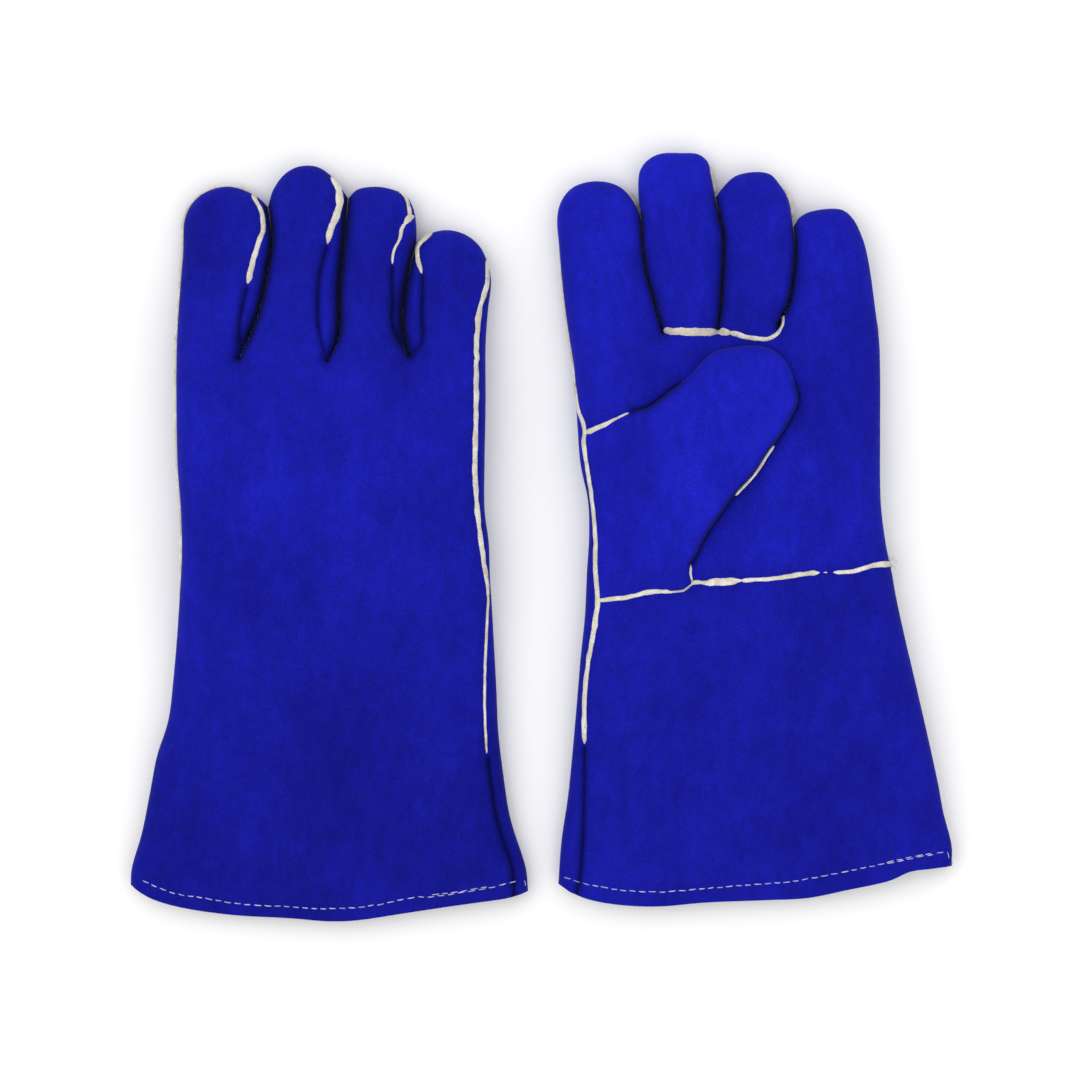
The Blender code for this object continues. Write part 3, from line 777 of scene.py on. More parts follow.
def leather_piece(name, verts, faces, normals, chosen, material, thickness=LEATHER, gap=0.0):
    """One panel: the chosen triangles of the skin, thickened inwards, with its cut edge closed."""
    picked = faces[chosen]
    used, local = np.unique(picked, return_inverse=True)
    local = local.reshape(picked.shape)
    n = normals[used]
    outer = verts[used] - n * gap
    inner = outer - n * thickness
    count = len(used)
    sides = {}
    for a, b, c in local:
        for edge in ((a, b), (b, c), (c, a)):
            if (edge[1], edge[0]) in sides:
                del sides[(edge[1], edge[0])]
            else:
                sides[edge] = True
    made = [list(f) for f in local] + [[f[2] + count, f[1] + count, f[0] + count] for f in local]
    made += [[b, a, a + count, b + count] for a, b in sides]
    return new_object(name, np.vstack([outer, inner]), made, material, np.vstack([n, -n]))


# ---- welts, thread and lining ----

def upwards(path):
    return np.tile((0.0, 0.0, 1.0), (len(path), 1))


def skin_rows(height_of, points):
    """Points and outward normals on a skin given as a height over the pattern plane."""
    step = 0.4
    dx, dy = ((height_of(points + shift) - height_of(points - shift)) / (2 * step)
              for shift in np.array([(step, 0), (0, step)]))
    normals = np.stack([-dx, -dy, np.ones(len(points))], axis=1)
    return np.column_stack([points, height_of(points)]), unit(normals)


# How uneven a strip is: the share of its size, the length along it in mm, and a number for the noise.
BROAD, FINE = (0.34, 7.0, 0), (0.14, 2.1, 5)        # in its width
WANDER, TALLNESS, ROUGHNESS = (0.14, 5.0, 9), (0.2, 3.1, 13), (0.08, 0.9, 21)
SQUARE_SIDES, SQUARE_TOP = 0.6, 0.8                 # 1 makes a strip's section round, and less squarer
STRIP_SIDES = 10


def ripple(travel, seed, share, length, number):
    return share * wave(travel / length, seed, number)


def strip_mesh(path, normals, width, height, seed):
    """A flat strip of leather edge swept along a path, uneven in width and pointed at its ends.

    The width is one number, or one for the start and one for the end."""
    along = unit(np.gradient(path, axis=0))
    across = unit(np.cross(along, normals))
    up = np.cross(across, along)
    travel = travelled(path)
    first, last = width if isinstance(width, tuple) else (width, width)
    wide = first + (last - first) * travel / travel[-1]
    ends = np.minimum(travel, travel[-1] - travel)
    taper = np.clip((ends + 0.1) / (1.2 * wide), 0, 1) ** 0.6
    verts = []
    for k, (point, s) in enumerate(zip(path, travel)):
        uneven = 1 + ripple(s, seed, *BROAD) + ripple(s, seed, *FINE)
        shift = ripple(s, seed, *WANDER) * wide[k]
        tall = height * (1 + ripple(s, seed, *TALLNESS))
        for j in range(STRIP_SIDES):
            turn = 2 * math.pi * j / STRIP_SIDES
            rough = 1 + ripple(s, seed + j, *ROUGHNESS)
            flat, high = math.cos(turn), math.sin(turn)
            flat = math.copysign(abs(flat) ** SQUARE_SIDES, flat)
            high = math.copysign(abs(high) ** SQUARE_TOP, high)
            beside = (0.5 * wide[k] * uneven * flat * rough + shift) * across[k]
            verts.append(point + taper[k] * (beside + 0.5 * tall * high * rough * up[k]))
    return np.array(verts), tube_faces(len(path), STRIP_SIDES)


def tube_faces(rows, sides):
    """The faces of a closed tube made of rings of points."""
    faces = [[k + j, k + (j + 1) % sides, k + sides + (j + 1) % sides, k + sides + j]
             for k in range(0, (rows - 1) * sides, sides) for j in range(sides)]
    end = (rows - 1) * sides
    return faces + [list(range(sides))[::-1], [end + j for j in range(sides)]]


def joined(meshes):
    verts, faces, total = [], [], 0
    for v, f in meshes:
        verts.append(v)
        faces += [[i + total for i in face] for face in f]
        total += len(v)
    return np.vstack(verts), faces


def even(line, step):
    """The line with points at an even spacing."""
    travel = travelled(line)
    at = np.linspace(0, travel[-1], max(2, int(travel[-1] / step) + 1))
    return np.stack([np.interp(at, travel, line[:, k]) for k in range(line.shape[1])], axis=1)


WELT_LIFT, WELT_HEIGHT = 0.15, 1.1


def welt_on_skin(glove, line, width, seed, top=True):
    """A welt strip along a pattern line, standing a little out of the seam's groove."""
    line = even(line, 0.9)
    path, normals = skin_rows(partial(top_height if top else bottom_height, glove), line)
    clear = np.nonzero(distance_to(line, glove["side_wall"]) > 0.7)[0]
    if len(clear):
        normals = normals[clear[np.abs(np.arange(len(line))[:, None] - clear[None, :]).argmin(axis=1)]]
    if not top:
        normals = -normals
    return strip_mesh(path + normals * WELT_LIFT, normals, width, WELT_HEIGHT, seed)


def flat_table(value):
    return [(0, value), (1, value)]


def side_strip(glove, start, end, width, seed, standing, drop=flat_table(0.9)):
    """A welt in the side seam between two places on the outline.

    How far it stands out past the outline and how far it lies below its middle are tables over y."""
    outline = glove["outline"]
    run = even(outline[nearest(outline, start):nearest(outline, end) + 1], 1.0)
    z = middle_height(glove, run) - eased(drop, run[:, 1])
    out = sideways(run, 1.0) - run
    path = np.column_stack([run + out * eased(standing, run[:, 1])[:, None], z])
    return strip_mesh(path, np.column_stack([out * 0.4, np.full(len(run), 0.9)]), width, 1.5, seed)


def clipped(line, low=-1e9, high=1e9):
    """The part of a line between two heights on the pattern."""
    return line[(line[:, 1] >= low) & (line[:, 1] <= high)]


def between(line, low, high):
    """The part of a line between two places across the pattern."""
    line = even(line, 0.9)
    return line[(line[:, 0] >= low) & (line[:, 0] <= high)]


def frayed(glove, place, count, seed):
    """Loose cotton fibres where a welt's end has come apart."""
    rng = random.Random(seed)
    steps = np.linspace(0, 1, 7)
    made = []
    for _ in range(count):
        turn = rng.uniform(-0.9, 1.6)
        length = rng.uniform(2.0, 4.6)
        way = turn + rng.uniform(-0.5, 0.5) * steps
        start = (place[0] + rng.uniform(-1.5, 0.5), place[1] + rng.uniform(-2, 2))
        spots = start + length * steps[:, None] * np.stack([np.cos(way), np.sin(way)], axis=1)
        path = np.column_stack([spots, middle_height(glove, spots) + 3.0 - 2.5 * steps])
        made.append(strip_mesh(path, upwards(path), 0.32, 0.3, rng.uniform(0, 90)))
    return made


STITCH_SHAPE = (           # share of the stitch's length, rise over the leather, and share of its radius
    (0, -0.35, 0.35), (0.08, 0.0, 0.8), (0.3, 0.22, 1), (0.5, 0.28, 1.05), (0.7, 0.22, 1), (0.92, 0.0, 0.8),
    (1, -0.35, 0.35))


def stitch_mesh(a, b, normal, radius):
    """One stitch of thread: a short rounded bar that dips into the leather at both ends."""
    across = np.cross(unit(b - a), normal)
    up = np.cross(across, unit(b - a))
    turns = np.linspace(0, 2 * math.pi, 6, endpoint=False)
    verts = [a + (b - a) * share + normal * rise + radius * size * (math.cos(t) * across + math.sin(t) * up)
             for share, rise, size in STITCH_SHAPE for t in turns]
    return np.array(verts), tube_faces(len(STITCH_SHAPE), len(turns))


def stitch_row(height_of, line, outward, rng):
    """A running stitch along a pattern line, with slightly uneven stitches."""
    travel = travelled(line)
    made, at = [], 0.6
    while at + STITCH < travel[-1]:
        length = STITCH * rng.uniform(0.85, 1.1)
        spots = np.array([[np.interp(s, travel, line[:, k]) for k in (0, 1)] for s in (at, at + length)])
        spots += np.array([[0, rng.uniform(-0.22, 0.22)], [0, rng.uniform(-0.22, 0.22)]])
        path, normals = skin_rows(height_of, spots)
        made.append(stitch_mesh(path[0], path[1], unit(outward * normals.mean(axis=0)), THREAD / 2))
        at += length + STITCH_GAP * rng.uniform(0.8, 1.2)
    return made


# ---- materials ----

def node(tree, kind, **settings):
    made = tree.nodes.new(kind)
    for name, value in settings.items():
        setattr(made, name, value)
    return made


def fill(made, values):
    """Sets a node's inputs by their names, and gives the node back."""
    for name, value in values.items():
        made.inputs[name].default_value = value
    return made


def noise_at(tree, coordinates, scale, detail=3.0, roughness=0.55):
    values = {"Scale": scale, "Detail": detail, "Roughness": roughness}
    made = fill(node(tree, "ShaderNodeTexNoise"), values)
    tree.links.new(coordinates, made.inputs["Vector"])
    return made.outputs["Fac"]


def mixed(tree, mode, factor, a, b):
    """A colour mix node; the factor and colours are sockets or plain values."""
    made = node(tree, "ShaderNodeMix", data_type="RGBA", blend_type=mode)
    for socket, value in ((made.inputs[0], factor), (made.inputs[6], a), (made.inputs[7], b)):
        if isinstance(value, (int, float)):
            socket.default_value = value
        elif isinstance(value, tuple):
            socket.default_value = (*value, 1)
        else:
            tree.links.new(value, socket)
    return made.outputs[2]


def spread(tree, value, low, high, out_low=0.0, out_high=1.0):
    made = node(tree, "ShaderNodeMapRange", interpolation_type="SMOOTHSTEP")
    for socket, number in zip(list(made.inputs)[1:5], (low, high, out_low, out_high)):
        socket.default_value = number
    tree.links.new(value, made.inputs[0])
    return made.outputs[0]


def finish_shader(tree, shader, tone, roughness, bumps):
    """Links the colour and roughness, and stacks height textures, each with its depth in metres."""
    tree.links.new(tone, shader.inputs["Base Color"])
    tree.links.new(roughness, shader.inputs["Roughness"])
    normal = None
    for height, depth, strength in bumps:
        made = fill(node(tree, "ShaderNodeBump"), {"Distance": depth, "Strength": strength})
        tree.links.new(height, made.inputs["Height"])
        if normal is not None:
            tree.links.new(normal, made.inputs["Normal"])
        normal = made.outputs["Normal"]
    tree.links.new(normal, shader.inputs["Normal"])


def banded(tree, place, direction, values):
    made = fill(node(tree, "ShaderNodeTexWave", wave_type="BANDS", bands_direction=direction), values)
    tree.links.new(place, made.inputs["Vector"])
    return made.outputs["Fac"]


def attribute(tree, name):
    return node(tree, "ShaderNodeAttribute", attribute_name=name).outputs["Fac"]


def darkened(tree, tone, shade):
    return mixed(tree, "MULTIPLY", 1.0, tone, shade)


def scaled(tree, colour, factor):
    """A colour times a number; both are sockets."""
    grey = node(tree, "ShaderNodeCombineColor")
    for socket in list(grey.inputs)[:3]:
        tree.links.new(factor, socket)
    return mixed(tree, "MULTIPLY", 1.0, colour, grey.outputs[0])


def new_material(name):
    material = bpy.data.materials.new(name)
    material.use_nodes = True
    tree = material.node_tree
    shader = tree.nodes["Principled BSDF"]
    place = tree.nodes.new("ShaderNodeTexCoord").outputs["Object"]
    return material, tree, shader, place


def suede(name, colour):
    """Split suede: soft broad cloudiness, brushed patches of nap, and a fine fibrous grain."""
    material, tree, shader, place = new_material(name)
    stretch = node(tree, "ShaderNodeVectorMath", operation="MULTIPLY")
    stretch.inputs[1].default_value = (1.0, 0.55, 1.0)
    tree.links.new(place, stretch.inputs[0])
    streaked = stretch.outputs[0]
    dark = tuple(c * 0.80 for c in colour)
    light = tuple(min(1, c * 1.15 + 0.0005) for c in colour)
    tone = mixed(tree, "MIX", spread(tree, noise_at(tree, streaked, 30, 6, 0.62), 0.28, 0.74), dark, light)
    tone = scaled(tree, tone, spread(tree, noise_at(tree, streaked, 190, 4, 0.65), 0.32, 0.70, 0.90, 1.10))
    tone = scaled(tree, tone, spread(tree, noise_at(tree, place, 1300, 2, 0.7), 0.28, 0.72, 0.80, 1.20))
    tone = scaled(tree, tone, attribute(tree, "tone"))
    # painted shade: darkens the nap in folds, in the slits and beside the folded thumb
    tone = scaled(tree, tone, spread(tree, attribute(tree, "painted_fold_shade"), 0.0, 1.0, 1.0, 0.16))
    fill(shader, {"Specular IOR Level": 0.06, "Sheen Weight": 0.08, "Sheen Roughness": 0.45,
                  "Sheen Tint": (0.25, 0.30, 1.0, 1)})
    roughness = spread(tree, noise_at(tree, place, 300, 3), 0.3, 0.7, 0.86, 1.0)
    finish_shader(tree, shader, tone, roughness, [(noise_at(tree, streaked, 60, 5, 0.6), 0.0024, 0.55),
                                                  (noise_at(tree, place, 380, 3, 0.6), 0.0006, 0.6),
                                                  (noise_at(tree, place, 1500, 2, 0.7), 0.00028, 0.8)])
    return material


def cream_welt(name):
    """The raw edge of cream leather: pale, fibrous, soiled a little in places and stained blue in spots."""
    material, tree, shader, place = new_material(name)
    soil = spread(tree, noise_at(tree, place, 160, 4), 0.35, 0.7)
    tone = mixed(tree, "MIX", soil, (0.60, 0.56, 0.46), (0.80, 0.78, 0.70))
    fibre = spread(tree, noise_at(tree, place, 1300, 3, 0.7), 0.3, 0.7)
    tone = mixed(tree, "MIX", fibre, darkened(tree, tone, (0.74, 0.72, 0.66)), tone)
    stain = spread(tree, noise_at(tree, place, 260, 4, 0.65), 0.60, 0.74, 0.0, 0.55)
    tone = mixed(tree, "MIX", stain, tone, (0.10, 0.12, 0.42))
    fill(shader, {"Specular IOR Level": 0.25, "Sheen Weight": 0.15})
    roughness = spread(tree, fibre, 0, 1, 0.72, 0.95)
    finish_shader(tree, shader, tone, roughness, [(noise_at(tree, place, 700, 4, 0.65), 0.0004, 0.7)])
    return material


def cotton(name):
    """Brushed cotton jersey: off-white, with fine knitted ribs and soft pills."""
    material, tree, shader, place = new_material(name)
    cloud = spread(tree, noise_at(tree, place, 60, 4), 0.3, 0.7)
    tone = mixed(tree, "MIX", cloud, (0.58, 0.55, 0.48), (0.74, 0.72, 0.66))
    ribs = banded(tree, place, "X", {"Scale": 420, "Distortion": 1.5, "Detail": 2})
    tone = mixed(tree, "MIX", spread(tree, ribs, 0, 1), darkened(tree, tone, (0.82, 0.82, 0.80)), tone)
    fill(shader, {"Specular IOR Level": 0.1, "Sheen Weight": 0.25})
    roughness = spread(tree, noise_at(tree, place, 500, 3), 0.3, 0.7, 0.85, 1.0)
    finish_shader(tree, shader, tone, roughness,
                  [(ribs, 0.0003, 0.5), (noise_at(tree, place, 600, 4, 0.7), 0.0004, 0.5)])
    return material


def sewing_thread(name):
    """Twisted pale thread, dulled by blue leather dust."""
    material, tree, shader, place = new_material(name)
    dust = spread(tree, noise_at(tree, place, 300, 3), 0.35, 0.7)
    tone = mixed(tree, "MIX", dust, (0.28, 0.30, 0.58), (0.56, 0.57, 0.72))
    twist = banded(tree, place, "DIAGONAL", {"Scale": 900})
    tone = mixed(tree, "MIX", twist, darkened(tree, tone, (0.8, 0.8, 0.84)), tone)
    finish_shader(tree, shader, tone, spread(tree, twist, 0, 1, 0.55, 0.8), [(twist, 0.0001, 0.6)])
    return material


# ---- making the gloves ----

STITCH, STITCH_GAP, THREAD = 3.5, 1.2, 0.52                                 # mm
BLUE = (0.0068, 0.0086, 0.312)
LINING_GAP = 0.00165       # from the leather's outside to the lining's, metres
LINING_TOP, LINING_SHORT = -1.5, 2.9     # where the lining ends: below the knuckles, and inside the hem, mm

# The back-up glove's thumb: its outline along and across its own length, in mm from its joint.

RIGHT_THUMB_TURN = math.radians(48)
RIGHT_THUMB = [(-9, -13), (-6, -15.5), (12, -18), (40, -18.5), (58, -17), (70, -12), (77, -4), (78.5, 3),
    (75, 10), (66, 16), (50, 18.5), (25, 18.5), (2, 16.5), (-7, 14.5), (-10, 12)]
RIGHT_THUMB_HEIGHT = 8.5
RIGHT_THUMB_ROUND, RIGHT_THUMB_TOP_ROUND = 7, 10
RIGHT_THUMB_ROOT = -5.0      # the seam stops here, where the thumb runs into its wing
HAND_PARTS = ("thumb_wing", "thumb_side_welt", "little_side_welt")


def sew_motion(piece, glove, part):
    """Rides a piece on its hand or the back-up thumb; other finger and thumb pieces are only baked in place.
    """
    side = glove["name"]
    hand = side + "_hand"
    finger = next((f for f in FINGERS + ("thumb",) if part.startswith(f)), None)
    if finger is None or part in HAND_PARTS:
        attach(piece, hand)
    elif finger != "thumb":
        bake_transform(piece)
    elif glove["palm_up"]:
        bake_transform(piece)
    else:
        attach(piece, side + "_thumb")


def finished(piece, glove, part):
    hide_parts(glove["name"] + "_" + part)
    sew_motion(piece, glove, part)
    return piece


def strips_piece(glove, part, strips, material):
    verts, faces = joined(strips)
    verts[:, 2] = np.maximum(verts[:, 2], LOWEST_WELT)
    piece = new_object(glove["name"] + "_" + part + "_strip", placed(glove, verts), faces, material)
    return finished(piece, glove, part)


def tone_of(glove, part, points):
    """How much lighter or darker each point's colour is made, by its height on the pattern and by its piece.
    """
    return eased(glove["tones"], points[:, 1]) * glove["part_tones"].get(part, 1.0)


def painted_fold_shade_of(glove, points):
    """Painted shade in folds, slits and by the thumb's edge, fading out where the fingers' slits run into
    the hand.
    """
    total = np.zeros(len(points))
    for name, narrow, wide in PAINTED_FOLD_SHADES:
        gap = distance_to(points, glove[name])
        dark = narrow * np.exp(-(gap / FOLD_SHADE_NARROW) ** 2) + wide * np.exp(-(gap / FOLD_SHADE_WIDE) ** 2)
        total += glove["shade"].get(name, 1.0) * dark
    full = ramp(points[:, 1], *SLIT_END) + (points[:, 1] < BELOW_SLITS)
    return np.clip(total, 0, 1) * (OFF_SLIT + (1 - OFF_SLIT) * np.clip(full, 0, 1))


def mark(piece, name, values):
    layer = piece.data.attributes.new(name, "FLOAT", "POINT")
    layer.data.foreach_set("value", np.asarray(values, np.float32))


def leather_of(glove, verts, faces, labels, material):
    """Splits a skin into leather pieces, marked with tone and painted fold shade. Gives the skin's normals.
    """
    normals = vertex_normals(verts, faces)
    painted_fold_shade = painted_fold_shade_of(glove, verts[:, :2])
    for part in sorted(set(labels)):
        chosen = np.array(labels) == part
        name = glove["name"] + "_" + part + "_leather"
        piece = leather_piece(name, placed(glove, verts), faces, normals, chosen, material)
        used = np.unique(faces[chosen])
        # painted shade of folds, slits and the thumb's edge, on both faces of the piece
        mark(piece, "painted_fold_shade", np.tile(painted_fold_shade[used], 2))
        mark(piece, "tone", np.tile(tone_of(glove, part, verts[used, :2]), 2))
        finished(piece, glove, part)
    return normals


def lining_of(glove, verts, faces, labels, normals, material):
    """The cotton lining of the hand and cuff, just inside the leather and a little short of the hem."""
    fits = (verts[:, 1] < LINING_TOP) & (distance_to(verts[:, :2], glove["hem_wall"]) > LINING_SHORT)
    body = np.array([label not in ("thumb_front", "thumb_back") for label in labels])
    chosen = fits[faces].all(axis=1) & body
    name = glove["name"] + "_hand_lining_cloth"
    piece = leather_piece(name, placed(glove, verts), faces, normals, chosen, material, LINING, LINING_GAP)
    finished(piece, glove, "hand_lining")


def hem_stitches(glove, material):
    """The running stitch at the hem, with a second row and a loose tail where the thread ends."""
    rng = random.Random(SEED + len(glove["name"]))
    top, bottom = partial(top_height, glove), partial(bottom_height, glove)
    row = curve_through(glove["stitches"], 1.0)
    made = stitch_row(top, row, 1, rng) + stitch_row(bottom, row, -1, rng)
    low, high = glove["backtack"]
    tack = sideways(row[(row[:, 0] > low) & (row[:, 0] < high)], 0.9)
    made += stitch_row(top, tack + (1.9, 0), 1, rng)
    tail = np.array([row[-1] + (1.5, 0.5), row[-1] + (3.0, -6.5)])
    made += stitch_row(top, even(tail, 1.0), 1, rng)
    verts, faces = joined(made)
    verts[:, 2] = np.maximum(verts[:, 2], LOWEST_THREAD)
    piece = new_object(glove["name"] + "_hem_stitches", placed(glove, verts), faces, material)
    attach(piece, glove["name"] + "_hand")


def right_thumb(glove, suede_material, welt_material):
    """The back-up glove's thumb: a flat stuffed shape that lies under the palm."""
    joint = next(j for j in frame["joints"] if j["name"] == "right_thumb_swing")
    cos, sin = math.cos(RIGHT_THUMB_TURN), math.sin(RIGHT_THUMB_TURN)
    turn = np.array([[cos, sin], [-sin, cos]])
    root = np.array(joint["pos_m"][:2]) / MM - np.array(glove["origin"]) / MM
    outline = curve_through(RIGHT_THUMB[::-1] + [RIGHT_THUMB[-1]], OUTLINE_STEP)[:-1] @ turn + root
    outline = outline[::-1]
    flat, triangles, _ = pattern_mesh(outline, {}, BOTTOM_GRID, BOTTOM_RINGS, ())
    side = distance_to(flat, wall_of(outline, np.roll(outline, -1, axis=0)))
    middle = RIGHT_THUMB_HEIGHT * 0.5
    low = middle * (1 - pillow(side, RIGHT_THUMB_ROUND))
    high = middle + middle * pillow(side, RIGHT_THUMB_TOP_ROUND)
    count = len(triangles)
    verts, faces, labels = skin_of([(flat, low, triangles, ["thumb_front"] * count, False),
                                    (flat, high, triangles, ["thumb_back"] * count, True)], outline)
    leather_of(glove, verts, faces, labels, suede_material)
    edge = even(np.vstack([outline, outline[:1]]), 1.2)
    edge = edge[((edge - root) @ turn.T)[:, 0] > RIGHT_THUMB_ROOT]
    path = np.column_stack([sideways(edge, 0.2), np.full(len(edge), middle)])
    strips_piece(glove, "thumb_welt", [strip_mesh(path, upwards(path), 1.3, 1.4, 4)], welt_material)


def thumb_welt(glove, thumb_edges, material):
    """The folded thumb's welt: hidden in most of its seam, and standing out along the lower edge."""
    edge = even(curve_through(THUMB_EDGE, OUTLINE_STEP), 0.9)
    rise = top_height(glove, edge) + thumb_extra(edge, thumb_edges)[1]
    inner = np.column_stack([sideways(edge, -0.5), rise - 0.5])[4:-4]
    outer = np.column_stack([sideways(edge, 0.5), rise + 0.1])
    outer = outer[nearest(edge, (7.5, -50)):nearest(edge, (-11, -74))]
    strips_piece(glove, "thumb_welt", [strip_mesh(inner, upwards(inner), 0.6, 0.6, 31),
                                       strip_mesh(outer, upwards(outer), 1.4, 1.4, 33)], material)


def right_welts(glove, material):
    """A strip's last numbers are its width in mm, or the widths of its two ends, and its noise seed."""
    top, bottom = glove["top_lines"], glove["bottom_lines"]
    put = partial(welt_on_skin, glove)
    fork = np.array([(40.2, 67.8), (38.6, 67.2), (37, 66), (35.4, 63.4)])
    finger_base = np.vstack([bottom["split_middle"], bottom["split_ring"][1:]])
    corner, tip = (-93.9, -247), (-37.5, 79)
    rows = {
        "index_welt": [put(clipped(top["index"], low=35.5), (2.3, 3.0), 1),
                       side_strip(glove, (-71.5, 0), tip, 1.7, 2, flat_table(0.3))],
        "middle_welt": [put(clipped(top["middle"], low=54.5), (5.6, 2.4), 3)],
        "ring_welt": [put(clipped(top["ring"], low=65), (1.8, 2.8), 5), put(fork, 3.6, 6),
                      put(clipped(top["ring"], 45, 66), (2.0, 1.0), 4)],
        "little_welt": [put(clipped(top["little"], low=40.5), (4.2, 2.0), 7),
                        put(np.vstack([top["little_side"], top["hand_side"][1:4]]), (3.2, 2.8), 8)],
        "little_side_welt": [put(clipped(top["hand_side"], low=-113), 2.8, 9),
                             put(clipped(top["hand_side"], -185.5, -110), (1.6, 1.1), 10)],
        "thumb_side_welt": [side_strip(glove, corner, (-71.4, 4), 1.7, 11, [(-125, -0.75), (-95, 0.3)],
                                       [(-125, 2.3), (-95, 0.9)])],
        "finger_base_welt": [put(finger_base, 2.6, 12, False)],
        "wrist_welt": [put(bottom["wrist"], 1.8, 14, False)],
    }
    for part, strips in rows.items():
        strips_piece(glove, part, strips, material)


LEFT_FINGER_BASE = [(-43.5, 4.6), (-40, 3.9), (-27.3, 3.4), (-18, 3.6), (-10.4, 2.9), (-5.2, 1.2),
                    (0, 0.4), (6.5, 0.4), (10.4, 3.0), (12.6, 6.4), (13.4, 11.5)]
LEFT_WRIST_WELT = ((-75, -24, 2.2), (-27, -6, 3.8), (-8, 30.5, (1.7, 2.6)), (31.5, 34.2, 0.8),
                   (35.6, 65, (1.6, 3.1)))            # from and to across the wrist, and how wide, mm


def left_welts(glove, material):
    """The palm-up glove's welts: most stand on its palm, and those of the fingers lie underneath."""
    top, bottom = glove["top_lines"], glove["bottom_lines"]
    put = partial(welt_on_skin, glove)
    under = partial(put, width=1.4, top=False)
    notch = partial(side_strip, glove, width=2.4, standing=flat_table(0.6), drop=flat_table(3.5))
    base = curve_through(LEFT_FINGER_BASE, 1.0)
    rows = {
        "index_welt": [under(bottom["index_right"], seed=41),
                       notch((-61, 69.5), (-55.2, 62), seed=61),
                       side_strip(glove, (-88.2, 6), (-92.5, 45), 1.2, 64, [(6, 0.2), (45, -0.5)])],
        "middle_welt": [under(bottom["middle_left"], seed=42), under(bottom["middle_right"], seed=43),
                        notch((-21.8, 83), (-19.4, 70), seed=62)],
        "ring_welt": [under(bottom["ring_left"], seed=44), under(bottom["ring_right"], seed=45),
                      notch((12.5, 71.5), (17.4, 57), seed=63)],
        "little_welt": [under(bottom["little_left"], seed=46),
                        under(bottom["little_side_finger"], seed=47)],
        "little_side_welt": [under(bottom["little_side"], seed=48)],
        "thumb_side_welt": [put(clipped(top["thumb_side"], low=-192), 2.6, 49),
                            put(top["root"][:-1], (2.8, 1.3), 50),
                            side_strip(glove, (-84.6, -28), (-88.6, 9), 1.5, 65, [(-28, 0.0), (0, 0.3)],
                                       [(-25, 0.0), (0, 0.9)])],
        "finger_base_welt": [put(base[:34], (3.4, 4.8), 51), put(base[31:], (2.8, 1.5), 66)],
        "wrist_welt": [put(between(top["wrist"], low, high), width, 52 + k)
                       for k, (low, high, width) in enumerate(LEFT_WRIST_WELT)]
                      + [put(top["wing"], 1.6, 59)] + frayed(glove, (63.6, -104.5), 9, 60),
    }
    for part, strips in rows.items():
        strips_piece(glove, part, strips, material)


def sew_glove(glove, seams_of, top_seeds, bottom_seeds, cloth):
    verts, faces, labels = glove_skin(glove, seams_of, top_seeds, bottom_seeds)
    if glove["palm_up"]:
        top = glove["top_lines"]
        edges = wall_along(curve_through(THUMB_EDGE, OUTLINE_STEP), top["root"], top["wing"])
        verts, faces = raised_wing(verts, faces, labels, edges)
        own_verts, own_faces, own_labels = thumb_skin(glove, top["fold"], edges)
        faces = np.vstack([faces, own_faces + len(verts)])
        verts, faces, labels = welded(np.vstack([verts, own_verts]), faces, labels + own_labels)
        thumb_welt(glove, edges, cloth["welt"])
        left_welts(glove, cloth["welt"])
    else:
        right_thumb(glove, cloth["suede"], cloth["welt"])
        right_welts(glove, cloth["welt"])
    normals = leather_of(glove, verts, faces, labels, cloth["suede"])
    lining_of(glove, verts, faces, labels, normals, cloth["lining"])
    hem_stitches(glove, cloth["thread"])


# ---- the studio ----

FIELD = 0.5098             # width of the picture at the gloves, metres
CAMERA_HEIGHT = 3.0
CAMERA_PLACE = (-0.0007, -0.0012, CAMERA_HEIGHT)
GLOVE_MIDDLE = 0.012       # height that the field is measured at
FILM = 36.0
FLOOR_HALF, FLOOR_Z = 4.0, -0.0002
RIGHT_SIDE, LEFT_SIDE = 0.0939, 0.0932   # from a pattern's middle to the pair's outer side, metres
LIGHTS = (("key", (-1.1, 0.35, 2.0), 1.6, 13), ("fill", (0.9, -0.9, 2.0), 1.8, 7))   # place, size, watts


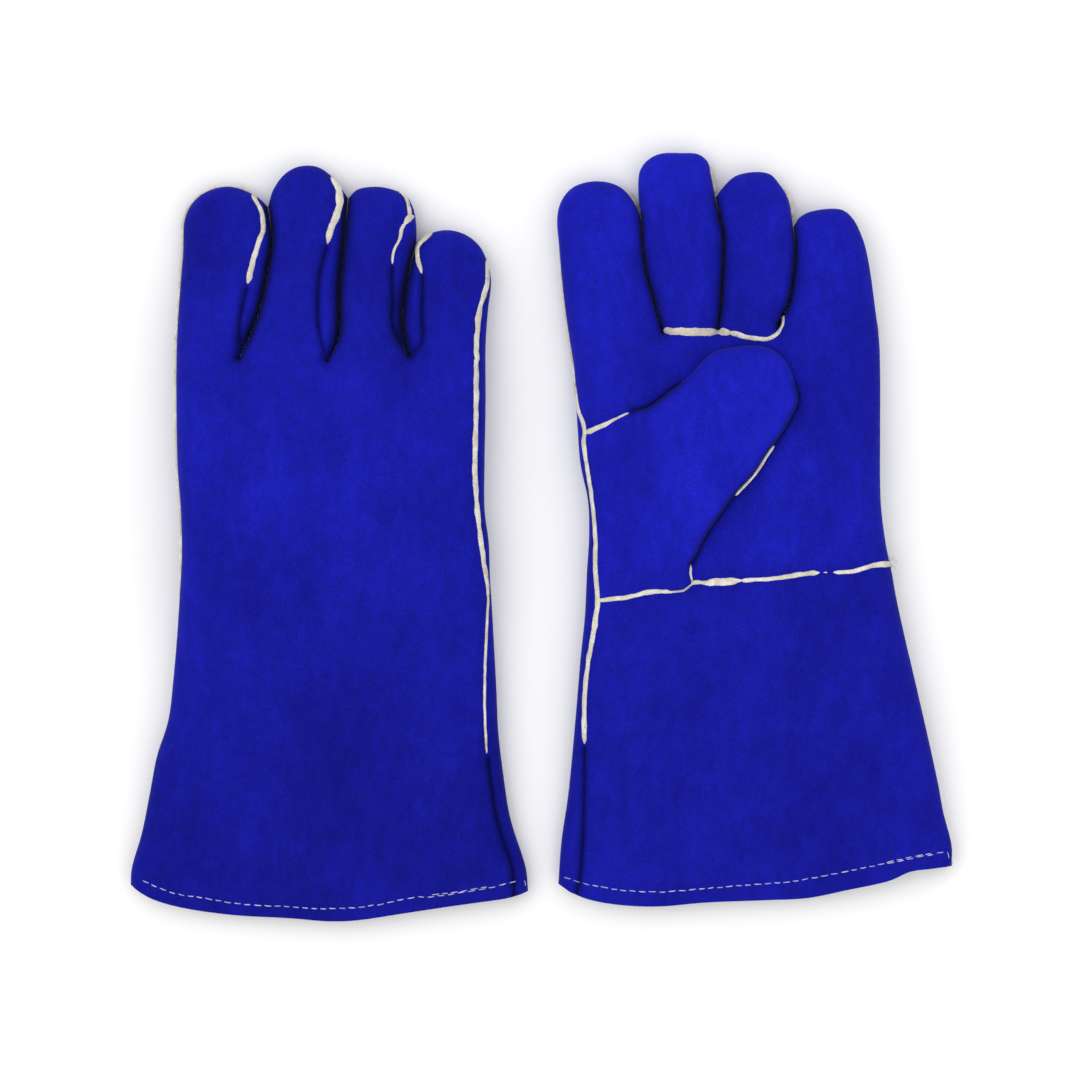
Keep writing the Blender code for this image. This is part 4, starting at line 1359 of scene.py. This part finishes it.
def build_studio():
    scene = bpy.context.scene
    scene.view_settings.view_transform = "Standard"
    camera = bpy.data.objects.new("camera", bpy.data.cameras.new("camera"))
    scene.collection.objects.link(camera)
    camera.location = CAMERA_PLACE
    camera.data.sensor_width = FILM
    camera.data.lens = FILM * (CAMERA_HEIGHT - GLOVE_MIDDLE) / FIELD
    camera.data.clip_end = 50
    scene.camera = camera
    world = bpy.data.worlds.new("studio")
    world.use_nodes = True
    fill(world.node_tree.nodes["Background"], {"Color": (1.0, 1.0, 1.0, 1), "Strength": 1.0})
    scene.world = world
    for name, place, size, power in LIGHTS:
        light = bpy.data.objects.new(name, bpy.data.lights.new(name, "AREA"))
        light.data.size = size
        light.data.energy = power
        light.location = place
        light.rotation_euler = (Vector((0, 0, 0)) - Vector(place)).to_track_quat("-Z", "Y").to_euler()
        scene.collection.objects.link(light)
    floor_material, tree, shader, place = new_material("pale_paper")
    tone = mixed(tree, "MIX", noise_at(tree, place, 8, 2), (0.86, 0.86, 0.855), (0.89, 0.89, 0.885))
    tree.links.new(tone, shader.inputs["Base Color"])
    fill(shader, {"Roughness": 0.9, "Specular IOR Level": 0.1})
    corners = [(x * FLOOR_HALF, y * FLOOR_HALF, FLOOR_Z) for x, y in ((-1, -1), (1, -1), (1, 1), (-1, 1))]
    floor = new_object("floor", corners, [(0, 1, 2, 3)], floor_material)


def place_gloves():
    """The knuckle line's height comes from the joints, and the sides from the whole object's box."""
    low, high = CAD_BOX
    for glove in (RIGHT, LEFT):
        joint = next(j for j in frame["joints"] if j["name"] == glove["name"] + "_index_knuckle")
        glove["origin"] = (low[0] + RIGHT_SIDE if glove is RIGHT else high[0] - LEFT_SIDE, joint["pos_m"][1])


build_studio()
place_gloves()
CLOTH = {"suede": suede("blue_suede", BLUE), "welt": cream_welt("cream_welt"),
         "lining": cotton("cotton_lining"), "thread": sewing_thread("pale_thread")}
sew_glove(RIGHT, right_seams, RIGHT_TOP_SEEDS, RIGHT_BOTTOM_SEEDS, CLOTH)
sew_glove(LEFT, left_seams, LEFT_TOP_SEEDS, LEFT_BOTTOM_SEEDS, CLOTH)

bpy.context.view_layer.update()
